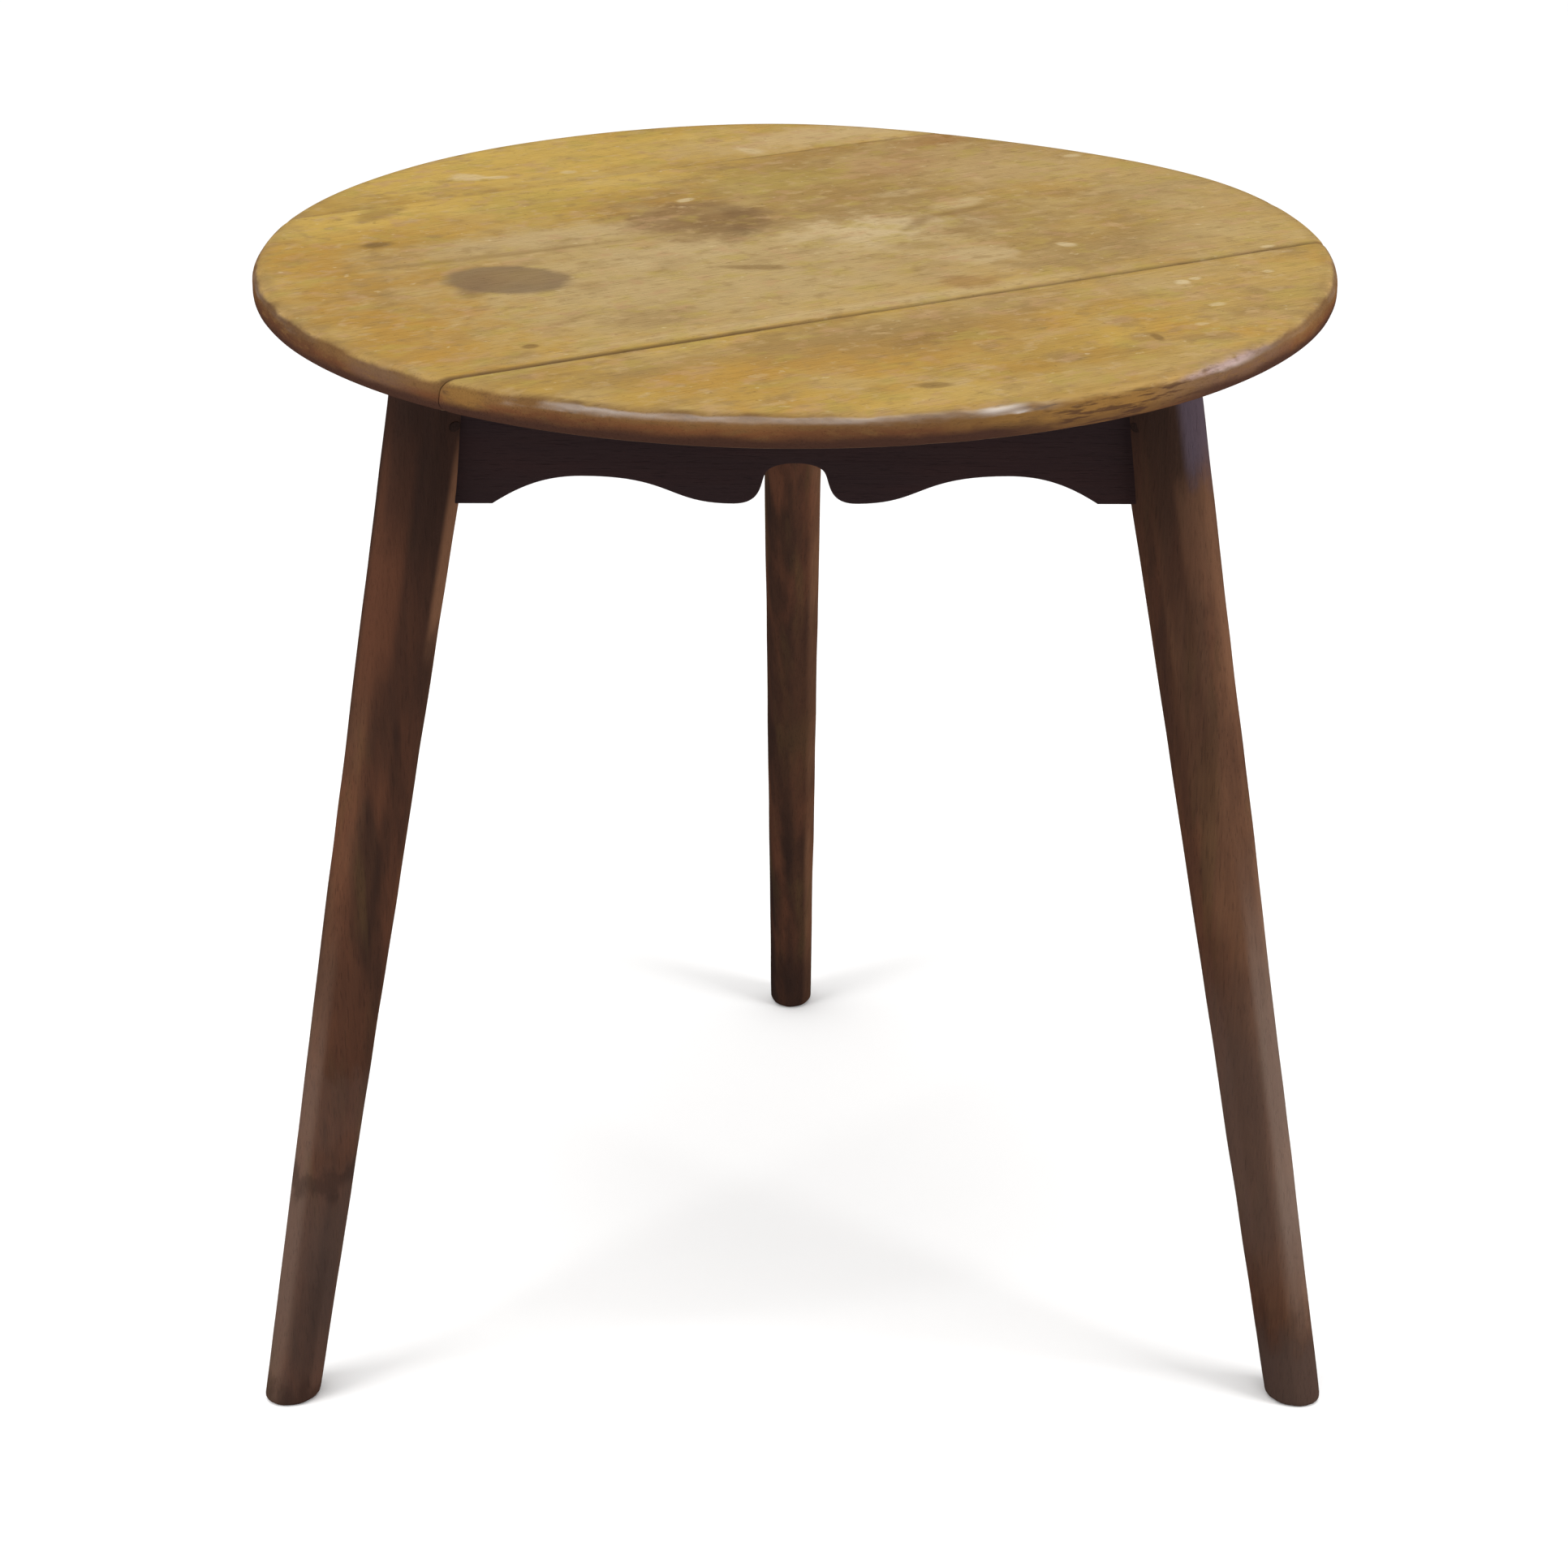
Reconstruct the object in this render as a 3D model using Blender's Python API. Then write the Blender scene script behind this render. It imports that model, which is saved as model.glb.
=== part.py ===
"""A cricket table: a round top of three boards on three splayed legs, tied by shaped aprons.

Metres, +Z up. The floor is at z = 0, and the origin lies under the middle of the table's box.
"""

import math

import bmesh
import bpy
from mathutils import Matrix, Vector
from mathutils.geometry import interpolate_bezier

# Whole table
TABLE_HEIGHT = 0.7065
FIT_GAP = 0.0003  # left between faces that meet
END_ROOM = 0.001  # spare depth past the end of a tenon, peg, dowel or screw

# Round top, made of three boards
TOP_DIAMETER = 0.660
TOP_THICKNESS = 0.019
UPPER_EDGE_ROUND = 0.008
LOWER_EDGE_ROUND = 0.006
GRAIN_ANGLE = math.radians(28.8)  # length of the boards, from +X
FRONT_JOINT_DISTANCE = 0.1376  # table's axis to the open joint
BACK_JOINT_DISTANCE = 0.2130  # table's axis to the tight joint
FRONT_JOINT_GAP = 0.0012
BACK_JOINT_GAP = 0.0005
JOINT_ARRIS = 0.0008  # worn edges along the joints
RIM_WEAR_DEPTH = 0.0135  # flattened stretch of the rim
RIM_WEAR_ANGLE = math.radians(61.0)
RIM_WEAR_SPREAD = math.radians(36.0)

# Dowels across the board joints
DOWEL_DIAMETER = 0.008
DOWEL_LENGTH = 0.060
DOWEL_CHAMFER = 0.001
DOWEL_SPREAD = 0.62  # outer dowels' distance from the middle, as a share of half the joint

# Legs, oval in section, with the larger side pointing at the table's axis
HEAD_INSET = 0.090  # rim of the top to the leg axes at its underside
LEG_SPLAY = 0.132  # how much further out the leg axes are at the floor
LEG_HEAD_DEPTH = 0.0550
LEG_HEAD_WIDTH = 0.0444
LEG_FOOT_DEPTH = 0.0367
LEG_FOOT_WIDTH = 0.0312
FOOT_ROUND = 0.004

# Aprons, with the lower edge cut to a notch, two lobes and two long arches
APRON_HEIGHT = 0.098
APRON_THICKNESS = 0.022
NOTCH_WIDTH = 0.0356
NOTCH_RISE = 0.0252  # crown of the notch above the lobes
NOTCH_SHOULDER_RISE = 0.0187
LOBE_DISTANCE = 0.0365  # apron's middle to the lowest point of a lobe
ARCH_RISE = 0.0172
ARCH_REACH = 0.053  # top of the arch to the pad
PAD_LENGTH = 0.020  # flat edge beside the leg

# Tenons and the pegs that lock them
TENON_THICKNESS = 0.009
TENON_OFFSET = 0.003  # towards the outer face
TENON_HEIGHT = 0.050
TENON_DROP = 0.012  # apron's top edge to the tenon
TENON_WALL = 0.0022  # leg wood between a tenon's end and the leg's middle plane
TENON_ROOT = 0.012  # length inside the apron
PEG_DIAMETER = 0.006
PEG_SETBACK = 0.009  # behind the shoulder
PEG_SPACING = 0.024
PEG_WALL = 0.0014  # leg wood between a peg's end and the leg's middle plane

# Blocks behind the aprons, and the screws that hold the top down through them
BLOCK_LENGTH = 0.040
BLOCK_WIDTH = 0.024
BLOCK_HEIGHT = 0.030
BLOCK_CHAMFER = 0.008
BLOCK_CORNER_GAP = 0.0067  # along the apron, to the plane midway to the next apron
SCREW_DIAMETER = 0.0045
SCREW_HEAD_DIAMETER = 0.009
SCREW_HEAD_HEIGHT = 0.0035
SCREW_BITE = 0.011  # into the board
SCREW_POINT = 0.004
SLOT_WIDTH = 0.0012
SLOT_DEPTH = 0.0014

# Shape of the curves: share of a curve's span that its tangent handle takes
CROWN_EASE = 0.50
SHOULDER_EASE_ABOVE = 0.66
SHOULDER_EASE_BELOW = 0.35
SHOULDER_LEAN = 0.45  # run for each unit of fall at the notch's shoulder
LOBE_INNER_EASE = 0.90
LOBE_OUTER_EASE = 0.44
ARCH_INNER_EASE = 0.61
ARCH_OUTER_EASE = 0.42
PAD_EASE = 0.30
PAD_FALL = 0.60  # share of the arch's rise that the curve loses along the pad's handle

# Facets
RIM_SIDES = 96
LEG_SIDES = 32
PEG_SIDES = 12
DOWEL_SIDES = 16
SCREW_SIDES = 16
CURVE_STEPS = 8
ROUND_STEPS = 4
SMOOTH_ANGLE = math.radians(35.0)
WELD_DISTANCE = 0.00003

# Layout in plan: a leg stands at each end of each apron
LEG_ANGLES = {"left": 210.0, "right": 330.0, "back": 90.0}
APRON_ANGLES = {"front": 270.0, "right": 30.0, "left": 150.0}  # where the outer face looks
APRON_ENDS = {  # leg at the +X end and at the -X end of each apron
    "front": {1: "left", -1: "right"},
    "right": {1: "right", -1: "back"},
    "left": {1: "back", -1: "left"},
}
HALF_SPAN = math.radians(60.0)  # from an apron's outward direction to the leg at its end
SKEW = math.radians(30.0)  # from an apron's length to the leg's radial direction

# Sizes that follow from those above
TOP_RADIUS = TOP_DIAMETER / 2
UNDERSIDE = TABLE_HEIGHT - TOP_THICKNESS
HEAD = UNDERSIDE - FIT_GAP  # top of the legs, aprons and blocks
APRON_FOOT = HEAD - APRON_HEIGHT
HEAD_CIRCLE_RADIUS = TOP_RADIUS - HEAD_INSET
LEG_LEAN = LEG_SPLAY / UNDERSIDE

# Finishes: colour, roughness, metallic
FINISHES = {
    "top_timber": ((0.400, 0.235, 0.068), 0.50, 0.0),
    "leg_timber": ((0.085, 0.038, 0.024), 0.45, 0.0),
    "apron_timber": ((0.060, 0.028, 0.020), 0.50, 0.0),
    "peg_timber": ((0.070, 0.033, 0.021), 0.55, 0.0),
    "block_timber": ((0.230, 0.130, 0.060), 0.75, 0.0),
    "dowel_timber": ((0.480, 0.330, 0.180), 0.70, 0.0),
    "screw_iron": ((0.090, 0.075, 0.065), 0.55, 0.9),
}


def leg_axis_radius(z):
    """Distance of a leg's axis from the table's axis at height z."""
    return HEAD_CIRCLE_RADIUS + LEG_LEAN * (UNDERSIDE - z)


def leg_half_section(z):
    """Half the leg's depth and width at height z."""
    share = z / UNDERSIDE
    depth = LEG_FOOT_DEPTH + (LEG_HEAD_DEPTH - LEG_FOOT_DEPTH) * share
    width = LEG_FOOT_WIDTH + (LEG_HEAD_WIDTH - LEG_FOOT_WIDTH) * share
    return depth / 2, width / 2


def leg_half_extent(z, angle):
    """Half the leg's breadth at height z, measured at an angle from its radial direction."""
    depth, width = leg_half_section(z)
    return math.hypot(depth * math.cos(angle), width * math.sin(angle))


CORNER_RADIUS = leg_axis_radius(HEAD - APRON_HEIGHT / 2)
CORNER_REACH = CORNER_RADIUS * math.sin(HALF_SPAN)  # apron's middle to the corner
APRON_DISTANCE = CORNER_RADIUS * math.cos(HALF_SPAN)  # table's axis to the apron's middle plane


def shoulder_reach(z):
    """Distance from the apron's middle to the leg's flank at height z."""
    inward = (CORNER_RADIUS - leg_axis_radius(z)) * math.cos(SKEW)
    return CORNER_REACH - inward - leg_half_extent(z, SKEW)


def foot_reach(angle):
    """How far a foot goes from the table's axis, seen at an angle from its radial direction."""
    return leg_axis_radius(FOOT_ROUND) * math.cos(angle) + leg_half_extent(FOOT_ROUND, angle)


FRONT_REACH = max(TOP_RADIUS, foot_reach(HALF_SPAN))
BACK_REACH = max(TOP_RADIUS, foot_reach(0.0))
AXIS_Y = (FRONT_REACH - BACK_REACH) / 2


def finish(name):
    """The Principled BSDF material of one finish."""
    colour, roughness, metallic = FINISHES[name]
    material = bpy.data.materials.get(name)
    if material is None:
        material = bpy.data.materials.new(name)
        material.use_nodes = True
        shader = material.node_tree.nodes["Principled BSDF"]
        shader.inputs["Base Color"].default_value = (*colour, 1.0)
        shader.inputs["Roughness"].default_value = roughness
        shader.inputs["Metallic"].default_value = metallic
    return material


def mesh_from(bm, name, finish_name=None):
    """Turns a bmesh into a mesh with outward faces and smooth round sides."""
    bmesh.ops.recalc_face_normals(bm, faces=bm.faces)
    mesh = bpy.data.meshes.new(name)
    bm.to_mesh(mesh)
    bm.free()
    mesh.shade_smooth()
    mesh.set_sharp_from_angle(angle=SMOOTH_ANGLE)
    if finish_name:
        mesh.materials.append(finish(finish_name))
    return mesh


def add_piece(name, mesh, place=Matrix()):
    """Puts a mesh in the scene as one piece of the table, placed from the table's axis."""
    piece = bpy.data.objects.new(name, mesh)
    bpy.context.scene.collection.objects.link(piece)
    piece.parent = bpy.data.objects["table_axis"]
    piece.location = place.to_translation()
    piece.rotation_euler = place.to_euler()
    return piece


def add_helper(name, mesh, place=Matrix()):
    """A shape that only cuts, joins or trims other pieces."""
    helper = add_piece(name, mesh, place)
    helper.hide_render = True
    helper.display_type = "WIRE"
    return helper


def combine(piece, operation, helper):
    """Cuts, joins or trims a piece with a helper."""
    modifier = piece.modifiers.new(helper.name, "BOOLEAN")
    modifier.operation = operation
    modifier.object = helper
    modifier.solver = "EXACT"


def turn_about_axis(angle):
    return Matrix.Rotation(angle, 4, "Z")


def apron_place(side):
    """Frame of an apron: X along it, Y out of its face, Z up, on the floor below its middle."""
    turn = turn_about_axis(math.radians(APRON_ANGLES[side] - 90.0))
    return turn @ Matrix.Translation((0, APRON_DISTANCE, 0))


def add_box(bm, low, high):
    """A box between two corners."""
    low = Vector(low)
    high = Vector(high)
    place = Matrix.Translation((low + high) / 2) @ Matrix.Diagonal((*(high - low), 1))
    bmesh.ops.create_cube(bm, size=1.0, matrix=place)


def add_rod(bm, radius, start, end, sides):
    """A round rod from start to end, both along Y at the same x and z."""
    start = Vector(start)
    end = Vector(end)
    place = Matrix.Translation((start + end) / 2) @ Matrix.Rotation(math.radians(-90), 4, "X")
    bmesh.ops.create_cone(
        bm,
        cap_ends=True,
        segments=sides,
        radius1=radius,
        radius2=radius,
        depth=(end - start).length,
        matrix=place,
    )


def add_turned(bm, outline, sides, place=Matrix()):
    """Turns an outline of (radius, height) points round the Z axis of a place."""
    others = set(bm.verts)
    verts = [bm.verts.new((radius, 0, height)) for radius, height in outline]
    edges = [bm.edges.new(pair) for pair in zip(verts, verts[1:])]
    bmesh.ops.spin(
        bm,
        geom=verts + edges,
        cent=(0, 0, 0),
        axis=(0, 0, 1),
        angle=math.tau,
        steps=sides,
        use_merge=True,
    )
    turned = [vert for vert in bm.verts if vert not in others]
    bmesh.ops.transform(bm, matrix=place, verts=turned)
    bmesh.ops.remove_doubles(bm, verts=turned, dist=WELD_DISTANCE)


def rim_radius(angle):
    """Radius of the top in plan: round, with one stretch worn flatter."""
    off = math.remainder(angle - RIM_WEAR_ANGLE, math.tau)
    if abs(off) >= RIM_WEAR_SPREAD:
        return TOP_RADIUS
    return TOP_RADIUS - RIM_WEAR_DEPTH * math.cos(off / RIM_WEAR_SPREAD * math.pi / 2) ** 2


def top_disc():
    """The whole top before it is parted into boards, with its length along X."""
    bm = bmesh.new()
    bmesh.ops.create_circle(bm, cap_ends=True, segments=RIM_SIDES, radius=TOP_RADIUS)
    for vert in bm.verts:
        angle = math.atan2(vert.co.y, vert.co.x)
        vert.co *= rim_radius(angle + GRAIN_ANGLE) / TOP_RADIUS
    bmesh.ops.translate(bm, vec=(0, 0, UNDERSIDE), verts=bm.verts)
    lower_rim = list(bm.edges)
    made = bmesh.ops.extrude_face_region(bm, geom=list(bm.faces), use_keep_orig=True)
    upper = [element for element in made["geom"] if isinstance(element, bmesh.types.BMVert)]
    bmesh.ops.translate(bm, vec=(0, 0, TOP_THICKNESS), verts=upper)
    upper_rim = [edge for edge in bm.edges if all(vert in upper for vert in edge.verts)]
    for rim, size in ((upper_rim, UPPER_EDGE_ROUND), (lower_rim, LOWER_EDGE_ROUND)):
        round_edges(bm, rim, size, ROUND_STEPS)
    return bm


def round_edges(bm, edges, size, steps):
    """Rounds edges off, or chamfers them in one step, once all faces look outwards."""
    bmesh.ops.recalc_face_normals(bm, faces=bm.faces)
    bmesh.ops.bevel(
        bm,
        geom=edges,
        offset=size,
        offset_type="OFFSET",
        segments=steps,
        profile=0.5,
        affect="EDGES",
        clamp_overlap=True,
        material=-1,
    )


def saw_off(bm, across, side):
    """Removes what lies past a joint: side is the direction, +Y or -Y, that is taken away."""
    everything = list(bm.verts) + list(bm.edges) + list(bm.faces)
    bmesh.ops.bisect_plane(
        bm, geom=everything, plane_co=(0, across, 0), plane_no=(0, side, 0), clear_outer=True
    )
    open_edges = [edge for edge in bm.edges if edge.is_boundary]
    bmesh.ops.contextual_create(bm, geom=open_edges)
    round_edges(bm, open_edges, JOINT_ARRIS, 1)


def make_boards(dowel_holes, screw_holes):
    """Three boards sawn from the disc, bored for the dowels and the screws."""
    front_edge = -FRONT_JOINT_DISTANCE
    back_edge = BACK_JOINT_DISTANCE
    cuts = {
        "front": [(front_edge - FRONT_JOINT_GAP / 2, 1)],
        "middle": [(front_edge + FRONT_JOINT_GAP / 2, -1), (back_edge - BACK_JOINT_GAP / 2, 1)],
        "back": [(back_edge + BACK_JOINT_GAP / 2, -1)],
    }
    for name, edges in cuts.items():
        bm = top_disc()
        for across, side in edges:
            saw_off(bm, across, side)
        mesh = mesh_from(bm, f"top_board_{name}", "top_timber")
        board = add_piece(f"top_board_{name}", mesh, turn_about_axis(GRAIN_ANGLE))
        for joint, holes in dowel_holes.items():
            if name in (joint, "middle"):
                combine(board, "DIFFERENCE", holes)
        combine(board, "DIFFERENCE", screw_holes)


def make_dowels():
    """Three dowels across each joint, halfway up the boards; returns the holes for them."""
    half = DOWEL_LENGTH / 2
    bm = bmesh.new()
    add_rod(bm, DOWEL_DIAMETER / 2, (0, -half, 0), (0, half, 0), DOWEL_SIDES)
    ends = [edge for edge in bm.edges if abs(edge.verts[0].co.y - edge.verts[1].co.y) < half]
    round_edges(bm, ends, DOWEL_CHAMFER, 1)
    mesh = mesh_from(bm, "edge_dowel", "dowel_timber")
    turn = turn_about_axis(GRAIN_ANGLE)
    height = UNDERSIDE + TOP_THICKNESS / 2
    joints = {"front": -FRONT_JOINT_DISTANCE, "back": BACK_JOINT_DISTANCE}
    holes = {}
    for joint, across in joints.items():
        spacing = DOWEL_SPREAD * math.sqrt(TOP_RADIUS**2 - across**2)
        bm = bmesh.new()
        for spot, along in (("left", -spacing), ("middle", 0.0), ("right", spacing)):
            place = turn @ Matrix.Translation((along, across, height))
            add_piece(f"edge_dowel_{joint}_joint_{spot}", mesh, place)
            start = (along, across - half - END_ROOM, height)
            end = (along, across + half + END_ROOM, height)
            add_rod(bm, DOWEL_DIAMETER / 2 + FIT_GAP, start, end, DOWEL_SIDES)
        name = f"dowel_holes_{joint}"
        holes[joint] = add_helper(name, mesh_from(bm, name), turn)
    return holes


def add_leg_shape(bm, place, grow, foot, head):
    """An oval leg between two heights, its sides grown outwards, leaning along +X of its place."""
    loops = []
    for z in (foot, head):
        depth, width = leg_half_section(z)
        section = Matrix.Translation((leg_axis_radius(z), 0, z))
        section = section @ Matrix.Diagonal((depth + grow, width + grow, 1, 1))
        made = bmesh.ops.create_circle(
            bm, cap_ends=True, segments=LEG_SIDES, radius=1.0, matrix=place @ section
        )
        loops += {edge for vert in made["verts"] for edge in vert.link_edges}
    bmesh.ops.bridge_loops(bm, edges=loops)


def make_legs(mortises, peg_holes):
    """Three tapered legs, mortised and bored for the two aprons that each one carries."""
    bm = bmesh.new()
    add_leg_shape(bm, Matrix(), 0.0, 0.0, HEAD)
    foot_rim = [edge for edge in bm.edges if all(vert.co.z == 0.0 for vert in edge.verts)]
    round_edges(bm, foot_rim, FOOT_ROUND, ROUND_STEPS)
    mesh = mesh_from(bm, "leg", "leg_timber")
    for name, angle in LEG_ANGLES.items():
        leg = add_piece(f"leg_{name}", mesh, turn_about_axis(math.radians(angle)))
        for side, ends in APRON_ENDS.items():
            if name in ends.values():
                combine(leg, "DIFFERENCE", mortises[side])
                combine(leg, "DIFFERENCE", peg_holes[side])


def make_leg_room():
    """The space that the legs take, with the fitting gap, which shoulders and pegs are cut to."""
    bm = bmesh.new()
    for angle in LEG_ANGLES.values():
        place = turn_about_axis(math.radians(angle))
        add_leg_shape(bm, place, FIT_GAP, 0.0, TABLE_HEIGHT)
    return add_helper("leg_room", mesh_from(bm, "leg_room"))


def apron_lower_edge():
    """Right half of the apron's lower edge, from the middle to the end, as (along, height)."""
    pad = shoulder_reach(APRON_FOOT) - PAD_LENGTH
    apex = pad - ARCH_REACH
    crown = Vector((0.0, NOTCH_RISE))
    shoulder = Vector((NOTCH_WIDTH / 2, NOTCH_SHOULDER_RISE))
    lobe = Vector((LOBE_DISTANCE, 0.0))
    arch = Vector((apex, ARCH_RISE))
    heel = Vector((pad, 0.0))
    fall_above = SHOULDER_EASE_ABOVE * (crown.y - shoulder.y)
    fall_below = SHOULDER_EASE_BELOW * shoulder.y
    lobe_span = lobe.x - shoulder.x
    arch_span = arch.x - lobe.x
    crown_handle = crown + Vector((CROWN_EASE * shoulder.x, 0))
    above_shoulder = shoulder + Vector((-SHOULDER_LEAN, 1)) * fall_above
    below_shoulder = shoulder - Vector((-SHOULDER_LEAN, 1)) * fall_below
    before_lobe = lobe - Vector((LOBE_INNER_EASE * lobe_span, 0))
    after_lobe = lobe + Vector((LOBE_OUTER_EASE * arch_span, 0))
    before_arch = arch - Vector((ARCH_INNER_EASE * arch_span, 0))
    after_arch = arch + Vector((ARCH_OUTER_EASE * ARCH_REACH, 0))
    before_heel = heel + Vector((-PAD_EASE * ARCH_REACH, PAD_FALL * ARCH_RISE))
    curves = (
        (crown, crown_handle, above_shoulder, shoulder),
        (shoulder, below_shoulder, before_lobe, lobe),
        (lobe, after_lobe, before_arch, arch),
        (arch, after_arch, before_heel, heel),
    )
    points = [crown]
    for curve in curves:
        points += interpolate_bezier(*curve, CURVE_STEPS + 1)[1:]
    points.append(Vector((CORNER_REACH, 0.0)))
    return points


def apron_board():
    """The apron before its shoulders are cut: its outline pushed through the thickness.

    The ends are mitred on the inside, where two aprons meet behind a leg.
    """
    half = apron_lower_edge()
    lower = [(-point.x, point.y) for point in reversed(half[1:])] + [tuple(point) for point in half]
    outline = lower + [(CORNER_REACH, APRON_HEIGHT), (-CORNER_REACH, APRON_HEIGHT)]
    bm = bmesh.new()
    verts = [bm.verts.new((x, -APRON_THICKNESS / 2, APRON_FOOT + z)) for x, z in outline]
    face = bm.faces.new(verts)
    made = bmesh.ops.extrude_face_region(bm, geom=[face], use_keep_orig=True)
    far = [element for element in made["geom"] if isinstance(element, bmesh.types.BMVert)]
    bmesh.ops.translate(bm, vec=(0, APRON_THICKNESS, 0), verts=far)
    mitre = APRON_THICKNESS / 2 / math.tan(SKEW) + FIT_GAP / math.sin(SKEW)
    for vert in verts:
        if abs(vert.co.x) > CORNER_REACH - mitre:
            vert.co.x = math.copysign(CORNER_REACH - mitre, vert.co.x)
    return bm


def tenon_boxes(grow, end_room):
    """The tenons at both ends of an apron, or the mortises for them."""
    half = TENON_THICKNESS / 2 + grow
    top = HEAD - TENON_DROP + grow
    bottom = HEAD - TENON_DROP - TENON_HEIGHT - grow
    inner_face = TENON_THICKNESS / 2 - TENON_OFFSET
    setback = (TENON_WALL + inner_face * math.cos(SKEW)) / math.sin(SKEW)
    tip = CORNER_REACH - setback + end_room
    root = shoulder_reach(HEAD) - TENON_ROOT
    bm = bmesh.new()
    for end in (1, -1):
        near, far = sorted((end * root, end * tip))
        add_box(bm, (near, TENON_OFFSET - half, bottom), (far, TENON_OFFSET + half, top))
    return bm


def make_mortises(side):
    name = f"mortises_{side}"
    return add_helper(name, mesh_from(tenon_boxes(FIT_GAP, END_ROOM), name), apron_place(side))


PEG_ROW = HEAD - TENON_DROP - TENON_HEIGHT / 2
PEG_HEIGHTS = {"upper": PEG_ROW + PEG_SPACING / 2, "lower": PEG_ROW - PEG_SPACING / 2}
PEG_OUTER_END = LEG_HEAD_DEPTH + APRON_THICKNESS / 2  # past the leg, before it is pared


def peg_reach(height):
    """Distance of a peg from the apron's middle."""
    return shoulder_reach(height) + PEG_SETBACK


def peg_inner_end(height):
    """Where a peg stops inside the leg, short of the pegs that come from the next apron."""
    to_corner = CORNER_REACH - peg_reach(height) - PEG_DIAMETER / 2
    return -(to_corner * math.tan(SKEW) - PEG_WALL / math.cos(SKEW))


def make_peg_holes(side):
    """Holes through leg and tenon for one apron's pegs."""
    bm = bmesh.new()
    for height in PEG_HEIGHTS.values():
        for end in (1, -1):
            along = end * peg_reach(height)
            start = (along, peg_inner_end(height) - FIT_GAP, height)
            stop = (along, PEG_OUTER_END + END_ROOM, height)
            add_rod(bm, PEG_DIAMETER / 2 + FIT_GAP, start, stop, PEG_SIDES)
    name = f"peg_holes_{side}"
    return add_helper(name, mesh_from(bm, name), apron_place(side))


def make_pegs(leg_room):
    """Two pegs at each end of each apron, pared off at the leg."""
    for level, height in PEG_HEIGHTS.items():
        bm = bmesh.new()
        start = (0, peg_inner_end(height), 0)
        add_rod(bm, PEG_DIAMETER / 2, start, (0, PEG_OUTER_END, 0), PEG_SIDES)
        mesh = mesh_from(bm, f"peg_{level}", "peg_timber")
        for side, ends in APRON_ENDS.items():
            for end, leg in ends.items():
                spot = Matrix.Translation((end * peg_reach(height), 0, height))
                name = f"peg_{leg}_leg_{side}_apron_{level}"
                combine(add_piece(name, mesh, apron_place(side) @ spot), "INTERSECT", leg_room)


def make_aprons(leg_room, peg_holes):
    """Three aprons with scribed shoulders and a tenon at each end."""
    mesh = mesh_from(apron_board(), "apron", "apron_timber")
    tenon_mesh = mesh_from(tenon_boxes(0.0, 0.0), "tenons")
    for side in APRON_ANGLES:
        apron = add_piece(f"apron_{side}", mesh, apron_place(side))
        combine(apron, "DIFFERENCE", leg_room)
        combine(apron, "UNION", add_helper(f"tenons_{side}", tenon_mesh, apron_place(side)))
        combine(apron, "DIFFERENCE", peg_holes[side])


BLOCK_FOOT = HEAD - BLOCK_HEIGHT
BLOCK_BACK = APRON_THICKNESS / 2 + FIT_GAP  # apron's middle plane to the glued face
BLOCK_END = CORNER_REACH - (BLOCK_BACK + BLOCK_WIDTH) / math.tan(SKEW) - BLOCK_CORNER_GAP
SCREW_LENGTH = BLOCK_HEIGHT + FIT_GAP + SCREW_BITE


def block_places():
    """Names of the apron's ends that have a block, and the place under the block's middle."""
    along = BLOCK_END - BLOCK_LENGTH / 2
    across = -(BLOCK_BACK + BLOCK_WIDTH / 2)
    for side, ends in APRON_ENDS.items():
        for end, leg in ends.items():
            spot = Matrix.Translation((end * along, across, BLOCK_FOOT))
            yield f"{side}_apron_{leg}_end", apron_place(side) @ spot


def make_blocks(screw_holes):
    """Blocks glued into the corner between each apron and the top, bored for a screw."""
    bm = bmesh.new()
    length = BLOCK_LENGTH / 2
    width = BLOCK_WIDTH / 2
    add_box(bm, (-length, -width, 0), (length, width, BLOCK_HEIGHT))
    inner = [edge for edge in bm.edges if all(v.co.y < 0 and v.co.z == 0 for v in edge.verts)]
    round_edges(bm, inner, BLOCK_CHAMFER, 1)
    mesh = mesh_from(bm, "glue_block", "block_timber")
    for name, place in block_places():
        block = add_piece(f"glue_block_{name}", mesh, place)
        combine(block, "DIFFERENCE", screw_holes)


def make_screw_holes():
    """Holes through the blocks into the boards, countersunk for the heads."""
    head = SCREW_HEAD_DIAMETER / 2 + FIT_GAP
    shank = SCREW_DIAMETER / 2 + FIT_GAP
    outline = (
        (0.0, -END_ROOM),
        (head, -END_ROOM),
        (head, 0.0),
        (shank, SCREW_HEAD_HEIGHT),
        (shank, SCREW_LENGTH + END_ROOM),
        (0.0, SCREW_LENGTH + END_ROOM),
    )
    bm = bmesh.new()
    for _, place in block_places():
        add_turned(bm, outline, SCREW_SIDES, place)
    return add_helper("screw_holes", mesh_from(bm, "screw_holes"))


def make_screws():
    """Slotted screws, driven up through the blocks into the boards."""
    outline = (
        (0.0, 0.0),
        (SCREW_HEAD_DIAMETER / 2, 0.0),
        (SCREW_DIAMETER / 2, SCREW_HEAD_HEIGHT),
        (SCREW_DIAMETER / 2, SCREW_LENGTH - SCREW_POINT),
        (0.0, SCREW_LENGTH),
    )
    bm = bmesh.new()
    add_turned(bm, outline, SCREW_SIDES)
    mesh = mesh_from(bm, "top_screw", "screw_iron")
    bm = bmesh.new()
    add_box(
        bm,
        (-SCREW_HEAD_DIAMETER, -SLOT_WIDTH / 2, -SLOT_DEPTH),
        (SCREW_HEAD_DIAMETER, SLOT_WIDTH / 2, SLOT_DEPTH),
    )
    slot_mesh = mesh_from(bm, "screw_slot")
    for name, place in block_places():
        screw = add_piece(f"top_screw_{name}", mesh, place)
        combine(screw, "DIFFERENCE", add_helper(f"screw_slot_{name}", slot_mesh, place))


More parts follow.
